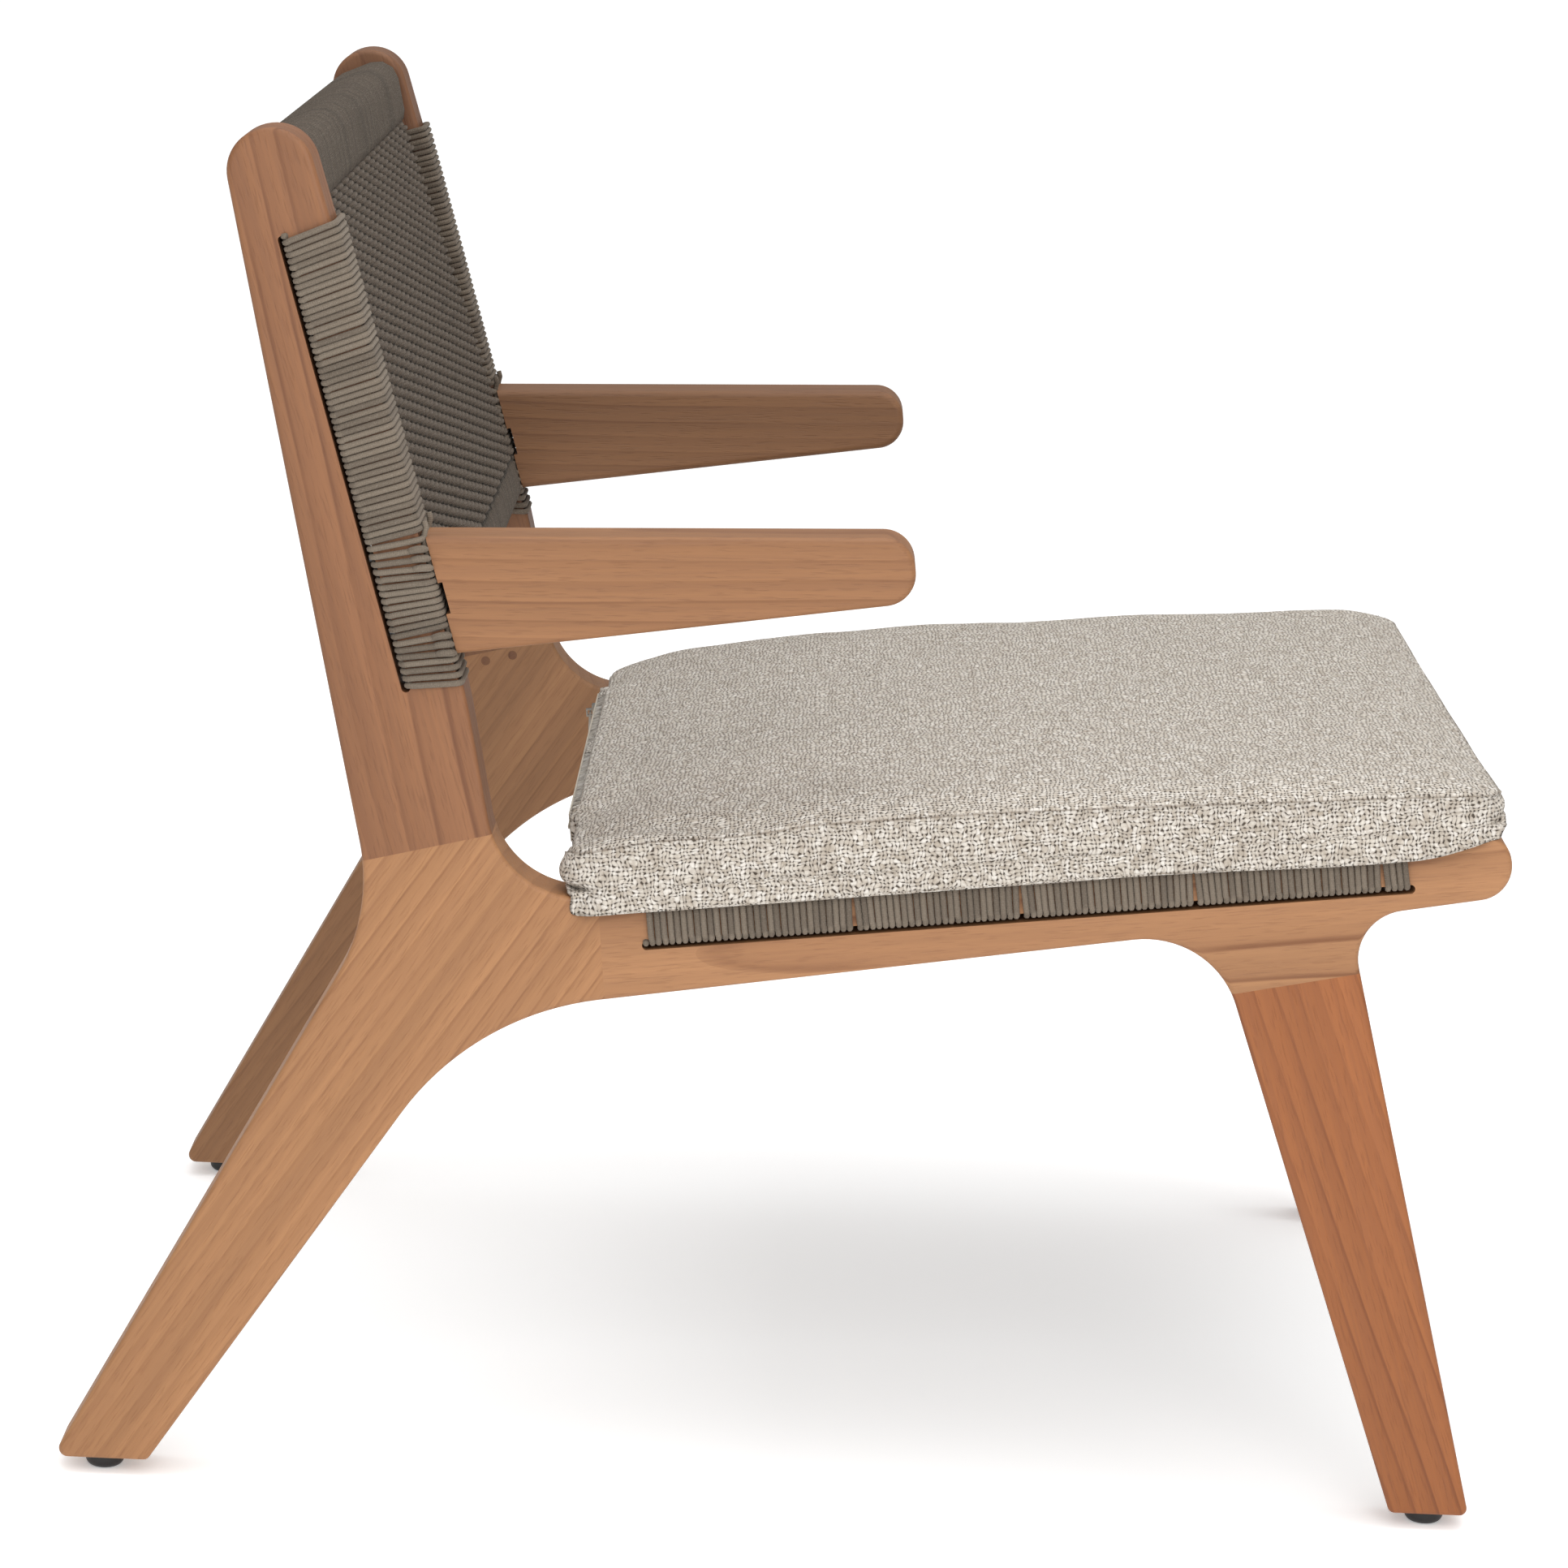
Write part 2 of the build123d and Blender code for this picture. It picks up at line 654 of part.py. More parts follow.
# The pull hangs from the loop: its round top bar runs through the loop along X
pivot_out = CUSHION_BACK + far + (BRIDGE_H - BRIDGE_T) / 2
pivot = seat_plane.from_local_coords((ZIP_REST, pivot_out, (bridge_low + bridge_high) / 2))
with BuildPart() as zip_pull:
    with BuildSketch(Plane(origin=pivot, x_dir=(1, 0, 0), z_dir=(0, -1, 0))):
        with Locations((0, -PULL_L / 2)):
            Rectangle(PULL_W, PULL_L)
        with Locations((0, -PULL_T / 2 - PULL_EYE_L / 2)):
            Rectangle(PULL_EYE_W, PULL_EYE_L, mode=Mode.SUBTRACT)
    extrude(amount=PULL_T / 2, both=True)
    fillet(zip_pull.edges().filter_by(Axis.Y).sort_by(Axis.Z)[:2], radius=PULL_R)
    with BuildSketch(Plane(origin=pivot, x_dir=(0, -1, 0), z_dir=(-1, 0, 0))):
        Circle(PULL_T / 2)
    extrude(amount=PULL_W / 2, both=True)

write(cushion_core.part, "cushion_core")
write(cushion_cover.part, "cushion_cover")
write(zip_tape.part, "zip_tape")
write(zip_teeth.part, "zip_teeth")
write(zip_slider.part, "zip_slider")
write(zip_pull.part, "zip_pull")
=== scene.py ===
import math
import random

import bmesh
import bpy
import numpy as np
from mathutils import Matrix, Vector


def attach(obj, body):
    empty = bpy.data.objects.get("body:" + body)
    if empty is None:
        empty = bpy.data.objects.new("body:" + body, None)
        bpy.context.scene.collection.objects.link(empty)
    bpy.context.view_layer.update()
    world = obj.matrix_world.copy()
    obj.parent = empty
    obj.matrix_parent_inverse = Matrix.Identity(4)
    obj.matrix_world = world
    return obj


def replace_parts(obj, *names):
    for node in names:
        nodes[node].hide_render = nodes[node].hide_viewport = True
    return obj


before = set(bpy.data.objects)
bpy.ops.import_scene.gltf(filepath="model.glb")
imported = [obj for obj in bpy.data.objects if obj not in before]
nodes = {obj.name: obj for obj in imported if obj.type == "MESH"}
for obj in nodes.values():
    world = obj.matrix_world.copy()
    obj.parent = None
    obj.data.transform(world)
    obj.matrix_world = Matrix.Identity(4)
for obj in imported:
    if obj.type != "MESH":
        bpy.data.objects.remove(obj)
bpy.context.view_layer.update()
scene = bpy.context.scene
scene.view_settings.view_transform = "Standard"

# Lengths are in millimetres until they are placed. Side-view points are (forward, up).
MM = 0.001
HALF = 325.0             # outer face of a side frame
INNER = 287.0            # inner face of a side frame
ROPE = 3.4
ROPE_R = 1.66
LATH_WRAP = 33.0         # width of a lath with its rope
POST_ROPE = ((-214.0, 459.0), (-285.8, 697.7))
SEAT_ROPE = ((340.6, 368.0), (-74.6, 318.4))


def place(x, forward, up):
    """Side-view millimetres to a point in the frame, in metres."""
    return (x * MM, -forward * MM, up * MM)


def unit(line):
    (u0, z0), (u1, z1) = line
    run = math.hypot(u1 - u0, z1 - z0)
    return (u1 - u0) / run, (z1 - z0) / run


def along(line, distance, sideways=0.0):
    """Point at a distance along a line, moved sideways to the line's right."""
    forward, up = unit(line)
    return (line[0][0] + forward * distance + up * sideways,
            line[0][1] + up * distance - forward * sideways)


def length_of(line):
    return math.hypot(line[1][0] - line[0][0], line[1][1] - line[0][1])


# ---------------------------------------------------------------- camera
camera = bpy.data.objects.new("camera", bpy.data.cameras.new("camera"))
scene.collection.objects.link(camera)
scene.camera = camera
camera.data.sensor_width = 36.0
camera.data.lens = 122.98
camera.data.clip_start = 0.05
camera.data.clip_end = 60.0
look = Vector((0.97931421, 0.0022215, -0.20233325))
right = Vector((0.0107136, -0.9991064, 0.04088538))
above = right.cross(look)
turn = Matrix((right, above, -look)).transposed()
camera.matrix_world = Matrix.Translation((-3.1967, -0.0023, 1.0066)) @ turn.to_4x4()


# ---------------------------------------------------------------- material helpers
STUDIO = 0.76            # the studio light makes surfaces look brighter than they are


def srgb(red, green, blue):
    """Surface colour, in linear light, that looks like this screen colour when lit."""
    def linear(value):
        value /= 255
        return value / 12.92 if value <= 0.04045 else ((value + 0.055) / 1.055) ** 2.4
    return (linear(red) * STUDIO, linear(green) * STUDIO, linear(blue) * STUDIO, 1.0)


class Paint:
    """A material with short calls to add nodes to it."""

    def __init__(self, name):
        self.material = bpy.data.materials.new(name)
        self.material.use_nodes = True
        self.tree = self.material.node_tree
        self.shader = self.tree.nodes["Principled BSDF"]
        self.coords = self.tree.nodes.new("ShaderNodeTexCoord")

    def node(self, kind, values=None, **settings):
        made = self.tree.nodes.new(kind)
        for key, value in settings.items():
            setattr(made, key, value)
        for key, value in (values or {}).items():
            if isinstance(value, bpy.types.NodeSocket):
                self.tree.links.new(value, made.inputs[key])
            else:
                made.inputs[key].default_value = value
        return made

    def set(self, **values):
        for key, value in values.items():
            name = key.replace("_", " ")
            if isinstance(value, bpy.types.NodeSocket):
                self.tree.links.new(value, self.shader.inputs[name])
            else:
                self.shader.inputs[name].default_value = value

    def math(self, operation, a, b=0.0, c=0.0):
        return self.node("ShaderNodeMath", {0: a, 1: b, 2: c}, operation=operation).outputs[0]

    def map(self, vector, scale=(1, 1, 1), turn=(0, 0, 0), shift=(0, 0, 0)):
        values = {"Vector": vector, "Scale": scale, "Rotation": turn, "Location": shift}
        return self.node("ShaderNodeMapping", values).outputs[0]

    def noise(self, vector, scale=1.0, detail=2.0, rough=0.5):
        values = {"Vector": vector, "Scale": scale, "Detail": detail, "Roughness": rough}
        return self.node("ShaderNodeTexNoise", values).outputs["Fac"]

    def span(self, value, low, high, to_low=0.0, to_high=1.0):
        values = {"Value": value, "From Min": low, "From Max": high, "To Min": to_low,
                  "To Max": to_high}
        made = self.node("ShaderNodeMapRange", values, interpolation_type="SMOOTHSTEP", clamp=True)
        return made.outputs[0]

    def ramp(self, value, stops):
        made = self.node("ShaderNodeValToRGB", {"Fac": value})
        ramp = made.color_ramp
        while len(ramp.elements) < len(stops):
            ramp.elements.new(1.0)
        for element, (position, colour) in zip(ramp.elements, stops):
            element.position = position
            element.color = colour
        return made.outputs[0]

    def mix(self, share, a, b):
        # the colour sockets of this node are its inputs 6 and 7 and its output 2
        return self.node("ShaderNodeMix", {"Factor": share, 6: a, 7: b}, data_type="RGBA").outputs[2]

    def bump(self, height, distance, strength):
        values = {"Height": height, "Distance": distance, "Strength": strength}
        self.set(Normal=self.node("ShaderNodeBump", values).outputs[0])


RING_PITCH = 0.0105      # metres between the teak's growth lines


def teak(name, turn, seed, heart, taper, hue=(176, 126, 84), lines=0.7):
    """Oiled teak. turn brings the grain onto local Y; heart is where the log's middle was."""
    p = Paint(name)
    base = p.map(p.coords.outputs["Object"], turn=turn)
    shifted = p.map(base, shift=(heart[0], seed * 1.7, heart[1]))
    slow = p.noise(p.map(shifted, scale=(7, 1.5, 7)), detail=1.5)
    wave = p.noise(p.map(shifted, scale=(30, 6, 30), shift=(seed, 0, 3)), detail=1.0)
    split = p.node("ShaderNodeSeparateXYZ", {"Vector": shifted})
    x, y, z = split.outputs
    radius = p.math("SQRT", p.math("ADD", p.math("MULTIPLY", x, x), p.math("MULTIPLY", z, z)))
    leaning = p.math("MULTIPLY_ADD", y, taper, radius)
    bent = p.math("MULTIPLY_ADD", slow, 0.030, leaning)
    bent = p.math("MULTIPLY_ADD", wave, 0.0032, bent)
    rings = p.math("FRACT", p.math("MULTIPLY", bent, 1 / RING_PITCH))
    # thin dark lines that fade in and out, soft shade between them, then fine fibre and pores
    line = p.math("MULTIPLY", p.span(rings, 0.78, 0.93),
                  p.math("SUBTRACT", 1.0, p.span(rings, 0.94, 1.0)))
    strength = p.span(p.noise(p.map(shifted, scale=(34, 5.0, 34), shift=(9, 4, seed))), 0.38, 0.66)
    line = p.math("MULTIPLY", line, p.math("MULTIPLY_ADD", strength, lines, 0.08 * lines))
    soft = p.math("MULTIPLY", p.span(rings, 0.05, 0.85), 0.16 + 0.10 * lines)
    bands = p.noise(p.map(shifted, scale=(30, 1.6, 30), shift=(seed * 3, 1, 5)), detail=2.0)
    fibre = p.noise(p.map(shifted, scale=(460, 9, 460)), detail=3.0, rough=0.65)
    pores = p.noise(p.map(shifted, scale=(1100, 70, 1100), shift=(2, seed, 8)), detail=1.0)
    pores = p.span(pores, 0.55, 0.72)
    light = srgb(*[value * 1.09 + 3 for value in hue])
    middle = srgb(*hue)
    dark = srgb(hue[0] * 0.78, hue[1] * 0.70, hue[2] * 0.64)
    ground = p.ramp(bands, [(0.30, middle), (0.68, light)])
    colour = p.mix(soft, ground, dark)
    colour = p.mix(line, colour, dark)
    threads = p.span(fibre, 0.32, 0.70)
    colour = p.mix(p.math("MULTIPLY", p.math("SUBTRACT", 1.0, threads), 0.24), colour, dark)
    colour = p.mix(p.math("MULTIPLY", pores, 0.28), colour, dark)
    p.set(Base_Color=colour, Roughness=p.span(fibre, 0.25, 0.75, 0.50, 0.66),
          Specular_IOR_Level=0.42)
    height = p.math("MULTIPLY_ADD", pores, -1.0, p.math("MULTIPLY", fibre, 0.5))
    height = p.math("MULTIPLY_ADD", line, -0.25, height)
    p.bump(height, 0.00012, 0.75)
    return p.material


def grain_turn(direction):
    """Rotation that brings a side-view grain direction (forward, up) onto local Y."""
    forward, up = direction
    return (math.atan2(-up, -forward), 0, 0)


BRAID_TURNS = 420        # crossings of the cord's braid in a metre, and round the cord
BRAID_ROUND = 4


def rope_material(name, colour, dark):
    """Smooth braided cord, from each strand's own length and angle."""
    p = Paint(name)
    uv = p.node("ShaderNodeUVMap", uv_map="strand").outputs[0]
    split = p.node("ShaderNodeSeparateXYZ", {"Vector": uv})
    run, angle = split.outputs[0], split.outputs[1]
    lengthways = p.math("MULTIPLY", run, 2 * math.pi * BRAID_TURNS)
    round_about = p.math("MULTIPLY", angle, 2 * math.pi * BRAID_ROUND)
    one = p.math("SINE", p.math("ADD", lengthways, round_about))
    two = p.math("SINE", p.math("SUBTRACT", lengthways, round_about))
    braid = p.math("MULTIPLY_ADD", p.math("MULTIPLY", one, two), 0.5, 0.5)
    tone = p.node("ShaderNodeAttribute", attribute_name="tone").outputs["Fac"]
    obj = p.coords.outputs["Object"]
    fuzz = p.noise(obj, scale=1700, detail=2.0, rough=0.6)
    patch = p.noise(obj, scale=16, detail=2.0)
    mixed = p.math("MULTIPLY_ADD", tone, 0.5, p.math("MULTIPLY", patch, 0.5))
    colour = p.ramp(mixed, [(0.28, dark), (0.62, colour)])
    # painted shade: the braid's grooves, where the bump is low, are darkened towards a dark brown
    shade = p.math("MULTIPLY", p.math("SUBTRACT", 1.0, braid), 0.20)
    colour = p.mix(shade, colour, srgb(70, 62, 54))
    colour = p.mix(p.span(fuzz, 0.50, 0.72, 0.0, 0.26), colour, srgb(178, 170, 158))
    p.set(Base_Color=colour, Roughness=0.86, Specular_IOR_Level=0.25, Sheen_Weight=0.25,
          Sheen_Roughness=0.5, Sheen_Tint=srgb(200, 190, 178))
    height = p.math("MULTIPLY_ADD", fuzz, 0.6, braid)
    p.bump(height, 0.00028, 0.8)
    return p.material


def speckled(name, low, high, rough, scale, metal=0.0, bump=0.00005):
    """Plain moulded or metal surface with a fine uneven finish."""
    p = Paint(name)
    at = p.coords.outputs["Object"]
    fine = p.noise(at, scale=scale, detail=3.0, rough=0.6)
    broad = p.noise(at, scale=scale * 0.06, detail=2.0)
    both = p.math("MULTIPLY_ADD", broad, 0.6, p.math("MULTIPLY", fine, 0.4))
    p.set(Base_Color=p.ramp(both, [(0.35, low), (0.65, high)]), Metallic=metal,
          Roughness=p.span(both, 0.35, 0.65, rough[0], rough[1]))
    p.bump(fine, bump, 0.6)
    return p.material


# ---------------------------------------------------------------- light and floor
world = bpy.data.worlds.new("studio")
world.use_nodes = True
scene.world = world
sky = world.node_tree
direction = sky.nodes.new("ShaderNodeTexCoord").outputs["Generated"]
parts = sky.nodes.new("ShaderNodeSeparateXYZ")
sky.links.new(direction, parts.inputs[0])


def sky_share(socket, low, high, to_low, to_high):
    made = sky.nodes.new("ShaderNodeMapRange")
    sky.links.new(socket, made.inputs["Value"])
    values = {"From Min": low, "From Max": high, "To Min": to_low, "To Max": to_high}
    for key, value in values.items():
        made.inputs[key].default_value = value
    return made.outputs[0]


# brighter overhead, and a little brighter on the camera's side
overhead = sky_share(parts.outputs[2], 0.0, 0.9, 0.08, 1.04)
sideways = sky_share(parts.outputs[0], 0.2, -1.0, 0.0, 0.22)
total = sky.nodes.new("ShaderNodeMath")
sky.links.new(overhead, total.inputs[0])
sky.links.new(sideways, total.inputs[1])
sky.links.new(total.outputs[0], sky.nodes["Background"].inputs[1])
sky.nodes["Background"].inputs[0].default_value = (1.0, 1.0, 1.0, 1.0)


def softbox(name, location, target, size, power):
    lamp = bpy.data.lights.new(name, "AREA")
    lamp.shape = "RECTANGLE"
    lamp.size, lamp.size_y = size
    lamp.energy = power
    holder = bpy.data.objects.new(name, lamp)
    holder.location = location
    aim = Vector(target) - Vector(location)
    holder.rotation_euler = aim.to_track_quat("-Z", "Y").to_euler()
    scene.collection.objects.link(holder)


softbox("key", (-1.75, -0.2, 1.15), (-0.3, 0, 0.42), (1.3, 1.0), 13.5)
softbox("top", (-0.3, -0.2, 2.9), (0, 0, 0.4), (2.4, 2.4), 30)

floor_mesh = bpy.data.meshes.new("floor")
floor_grid = bmesh.new()
bmesh.ops.create_grid(floor_grid, x_segments=8, y_segments=8, size=25.0)
floor_grid.to_mesh(floor_mesh)
floor_grid.free()
floor = bpy.data.objects.new("floor", floor_mesh)
scene.collection.objects.link(floor)
floor_paint = Paint("floor")
floor_tone = floor_paint.noise(floor_paint.coords.outputs["Object"], scale=0.6, detail=2.0)
floor_colour = floor_paint.ramp(floor_tone, [(0.3, (0.93, 0.93, 0.93, 1)),
                                             (0.7, (0.95, 0.95, 0.95, 1))])
floor_paint.set(Base_Color=floor_colour, Roughness=0.9, Specular_IOR_Level=0.1,
                Emission_Color=(1.0, 1.0, 1.0, 1.0), Emission_Strength=0.30)
floor_mesh.materials.append(floor_paint.material)


# ---------------------------------------------------------------- rope geometry
class Strands:
    """Collects rope strands as round tubes in one mesh."""

    def __init__(self, seed, sides=7):
        self.random = random.Random(seed)
        self.sides = sides
        self.points, self.faces, self.uvs, self.tones, self.caps = [], [], [], [], []
        self.count = 0

    def add(self, path, radius=ROPE_R, tones=None):
        """One strand through the points of a path, each a point in millimetres."""
        path = np.array(path, dtype=float)
        steps = np.linalg.norm(np.diff(path, axis=0), axis=1)
        keep = np.concatenate([[True], steps > 1e-4])
        path = path[keep]
        number = len(path)
        ahead = np.gradient(path, axis=0)
        ahead /= np.linalg.norm(ahead, axis=1)[:, None]
        first = np.cross(ahead[0], (0.31, 0.52, 0.79))
        first /= np.linalg.norm(first)
        normals = np.empty_like(path)
        normals[0] = first
        for index in range(1, number):
            carried = normals[index - 1] - ahead[index] * (normals[index - 1] @ ahead[index])
            normals[index] = carried / np.linalg.norm(carried)
        others = np.cross(ahead, normals)
        radii = np.broadcast_to(np.asarray(radius, dtype=float), (number,))
        sides = self.sides
        angles = np.arange(sides) * 2 * math.pi / sides
        rings = (path[:, None, :]
                 + radii[:, None, None] * (np.cos(angles)[None, :, None] * normals[:, None, :]
                                           + np.sin(angles)[None, :, None] * others[:, None, :]))
        run = np.concatenate([[0], np.cumsum(np.linalg.norm(np.diff(path, axis=0), axis=1))])
        start = self.count
        self.points.append(rings.reshape(-1, 3))
        if tones is None:
            tones = np.full(number, self.random.random())
        self.tones.append(np.repeat(np.asarray(tones, dtype=float), sides))
        ring = np.arange(number - 1)[:, None] * sides
        corner = np.arange(sides)[None, :]
        following = (corner + 1) % sides
        quads = np.stack([ring + corner, ring + sides + corner, ring + sides + following,
                          ring + following], axis=-1).reshape(-1, 4) + start
        self.faces.append(quads)
        u0 = np.repeat(run[:-1], sides) * MM
        u1 = np.repeat(run[1:], sides) * MM
        v0 = np.tile(np.arange(sides) / sides, number - 1)
        v1 = v0 + 1 / sides
        uv = np.stack([np.stack([u0, v0], -1), np.stack([u1, v0], -1),
                       np.stack([u1, v1], -1), np.stack([u0, v1], -1)], axis=1)
        self.uvs.append(uv.reshape(-1, 2))
        self.count += number * sides
        self.caps += [start, self.count - sides]

    def build(self, name, material, body="frame"):
        """The strands as one mesh, with their ends closed."""
        points = np.concatenate(self.points)
        placed = np.stack([points[:, 0], -points[:, 1], points[:, 2]], axis=1) * MM
        quads = np.concatenate(self.faces)
        mesh = bpy.data.meshes.new(name)
        caps = [[start + k for k in range(self.sides)] for start in self.caps]
        for index, cap in enumerate(caps):
            if index % 2 == 1:
                cap.reverse()
        loops = np.concatenate([quads.ravel(), np.array(sum(caps, []), dtype=int)])
        totals = np.concatenate([np.full(len(quads), 4), [len(cap) for cap in caps]]).astype(int)
        starts = np.concatenate([[0], np.cumsum(totals)[:-1]])
        mesh.vertices.add(len(placed))
        mesh.vertices.foreach_set("co", placed.ravel())
        mesh.loops.add(len(loops))
        mesh.loops.foreach_set("vertex_index", loops)
        mesh.polygons.add(len(totals))
        mesh.polygons.foreach_set("loop_start", starts)
        mesh.polygons.foreach_set("use_smooth", np.ones(len(totals), dtype=bool))
        layer = mesh.uv_layers.new(name="strand")
        uv = np.zeros((len(loops), 2))
        uv[:quads.size] = np.concatenate(self.uvs)
        layer.data.foreach_set("uv", uv.ravel())
        tone = mesh.attributes.new("tone", "FLOAT", "POINT")
        tone.data.foreach_set("value", np.concatenate(self.tones))
        mesh.update(calc_edges=True)
        mesh.validate()
        mesh.materials.append(material)
        made = bpy.data.objects.new(name, mesh)
        scene.collection.objects.link(made)
        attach(made, body)
        return made


def arc(centre, radius, start, end, steps):
    """Points of an arc in a plane, angles in degrees."""
    return [(centre[0] + radius * math.cos(math.radians(start + (end - start) * k / steps)),
             centre[1] + radius * math.sin(math.radians(start + (end - start) * k / steps)))
            for k in range(steps + 1)]


W_REAR = ROPE / 2                     # rope's centre line at the slot
W_FRONT = LATH_WRAP - ROPE / 2        # and at the lath's free edge
X_OUT = HALF + ROPE / 2
X_IN = INNER - ROPE / 2
BEND = 3.6                            # rope's centre line round a lath's corner


def lath_loop():
    """One turn round a lath as (across, out) points, from the slot across the outer face."""
    low, high = W_REAR + BEND, W_FRONT - BEND
    points = [(low, X_OUT), ((low + high) / 2, X_OUT)]
    points += arc((high, X_OUT - BEND), BEND, 90, 0, 3)
    points += arc((high, X_IN + BEND), BEND, 0, -90, 3)
    points += [((low + high) / 2, X_IN)]
    points += arc((low, X_IN + BEND), BEND, -90, -180, 3)
    points += arc((low, X_OUT - BEND), BEND, 180, 90, 3)[:-1]
    return points


WOUND_R = 1.76                        # the wound rope is pressed a little flat and wide
OUTER, INSIDE = 4, 8                  # an open turn has the loop's points before and from these
TURN = 7                              # from here on a turn heads for the next one's slot edge
LIFTED = (1, 2, 9)                    # points of a turn that stand off a little by chance


def wind(strands, line, stations, side, open_turns=()):
    """Rope wound round a lath. stations are (slot edge, free edge) places along the line."""
    loop = lath_loop()
    jitter = strands.random
    path, tones = [], []

    def close():
        nonlocal path, tones
        if len(path) > 2:
            strands.add(path, radius=WOUND_R, tones=tones)
        path, tones = [], []

    def at(rear, front, w, x, shift=0.0):
        share = (w - W_REAR) / (W_FRONT - W_REAR)
        u, z = along(line, rear + (front - rear) * share + shift, w)
        return (side * x, u, z)

    for index, (rear, front) in enumerate(stations):
        following = stations[index + 1][0] if index + 1 < len(stations) else rear + ROPE
        tone = jitter.random()
        wobble = jitter.uniform(-0.22, 0.22)
        lift = jitter.uniform(0, 0.25)
        if index in open_turns:
            # an open turn goes round the slot side only, and never crosses the free edge
            close()
            piece = [at(rear, front, w, x) for w, x in loop[INSIDE:] + loop[:OUTER]]
            strands.add(piece, radius=WOUND_R, tones=[tone] * len(piece))
            continue
        if not path:
            # a run starts inside the slot and comes round the lath's outer corner
            for w, x in arc((W_REAR + BEND, X_OUT - BEND), BEND, 180, 90, 3)[:-1]:
                path.append(at(rear, rear, w, x))
                tones.append(tone)
        for spot, (w, x) in enumerate(loop):
            push = lift if spot in LIFTED else 0.0
            if spot < TURN:
                path.append(at(rear, front, w, x + push, wobble))
            else:
                path.append(at(following, front, w, x - push, wobble))
            tones.append(tone)
    close()


def spread(groups):
    """Stations from (count, slot start, slot end, free start, free end) groups."""
    stations = []
    for count, rear_a, rear_b, front_a, front_b in groups:
        for k in range(count):
            share = k / max(count - 1, 1)
            stations.append((rear_a + (rear_b - rear_a) * share,
                             front_a + (front_b - front_a) * share))
    return stations


# Post: four turns below the armrest's lower pad, three open ones beside it, nine between the
# pads, four beside the upper pad, of which three are open, and the rest above the armrest
POST_STATIONS = spread([
    (4, -0.4, 11.9, -6.0, 7.6),
    (3, 15.9, 23.3, 11.2, 21.2),
    (9, 27.4, 59.6, 26.8, 55.4),
    (4, 64.0, 77.3, 59.6, 75.6),
    (48, 81.4, 249.2, 81.6, 252.8),
])
POST_OPEN = (4, 5, 6, 16, 17, 18)
SEAT_TURNS = 114
SEAT_GAPS = (15.6, 118.2, 214.2, 306.0)      # where the rope parts at the slot, how far, and
SEAT_GAP = 2.6                               # over what length the gap closes
SEAT_GAP_FADE = 16.0
SLOT_LEAD = 0.8                              # the first turn starts this much early at the slot


def seat_stations():
    """Even turns with four narrow wedge gaps, open at the slot."""
    run = length_of(SEAT_ROPE)
    stations = []
    for k in range(SEAT_TURNS):
        s = ROPE / 2 + (run - ROPE) * k / (SEAT_TURNS - 1)
        rear = s * (run + SLOT_LEAD) / run - SLOT_LEAD
        for gap in SEAT_GAPS:
            away = s - gap
            rear += math.copysign(SEAT_GAP / 2, away) * math.exp(-abs(away) / SEAT_GAP_FADE)
        stations.append((rear, s))
    return stations


rope_colour = rope_material("rope", srgb(136, 123, 108), srgb(114, 102, 89))
# painted shade: the far (left) frame's rope is a darker copy of the same rope
far_shaded_rope_colour = rope_material("far_rope_painted_shade", srgb(118, 105, 91), srgb(98, 86, 74))
# painted shade: the crossbars' rope is a darker copy of the same rope
panel_shaded_colour = rope_material("panel_rope_painted_shade", srgb(86, 74, 63), srgb(66, 57, 48))
# painted shade: the woven panels' rope is a darker copy of the same rope, and its near-black end
# colours the strands that lie under the cross strands
weave_shaded_colour = rope_material("weave_rope_painted_shade", srgb(90, 78, 67), srgb(34, 29, 24))

# the loop that ends an open turn: (across, lift off the face, shift along, radius)
BEAD = ((22.0, -0.4, 0.0, 1.5), (24.0, 1.2, 0.5, 1.9), (27.0, 2.2, 0.8, 2.15),
        (30.0, 1.9, 0.5, 2.15), (31.6, 0.2, -0.1, 1.9), (31.8, -2.6, -0.5, 1.5))
RISERS = ((8.0, 27.0), (56.0, 84.5))  # where a strand runs up the free edge past a pad
RISER_IN = 3.2                        # and how far it lies in from the lath's faces

# the left frame's post and seat rail take the darker rope copy, as painted shade
for name, side, side_rope in (("right", -1, rope_colour), ("left", 1, far_shaded_rope_colour)):
    post = Strands(11 if side < 0 else 12)
    wind(post, POST_ROPE, POST_STATIONS, side, POST_OPEN)
    for index in POST_OPEN:
        rear, front = POST_STATIONS[index]
        for out, into in ((X_OUT, 1), (X_IN, -1)):
            bead = []
            for w, lift, drop, _ in BEAD:
                back = (rear - front) * (W_FRONT - w) / (W_FRONT - W_REAR)
                u, z = along(POST_ROPE, front + drop + back, w)
                bead.append((side * (out + into * lift), u, z))
            post.add(bead, radius=[stop[3] for stop in BEAD])
    for low, high in RISERS:
        for x in (HALF - RISER_IN, INNER + RISER_IN):
            rise = []
            for s in np.linspace(low, high, 9):
                # above the upper pad the strand steps out to the edge of the wound rope
                w = 31.4 + 3.1 * min(max((s - 76.0) / 4.0, 0.0), 1.0)
                u, z = along(POST_ROPE, s, w)
                rise.append((side * x, u, z))
            post.add(rise)
    made = post.build(f"{name}_post_strands", side_rope)
    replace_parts(made, f"{name}_post_rope")
    seat = Strands(21 if side < 0 else 22)
    wind(seat, SEAT_ROPE, seat_stations(), side)
    made = seat.build(f"{name}_seat_strands", side_rope)
    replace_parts(made, f"{name}_seat_rope")


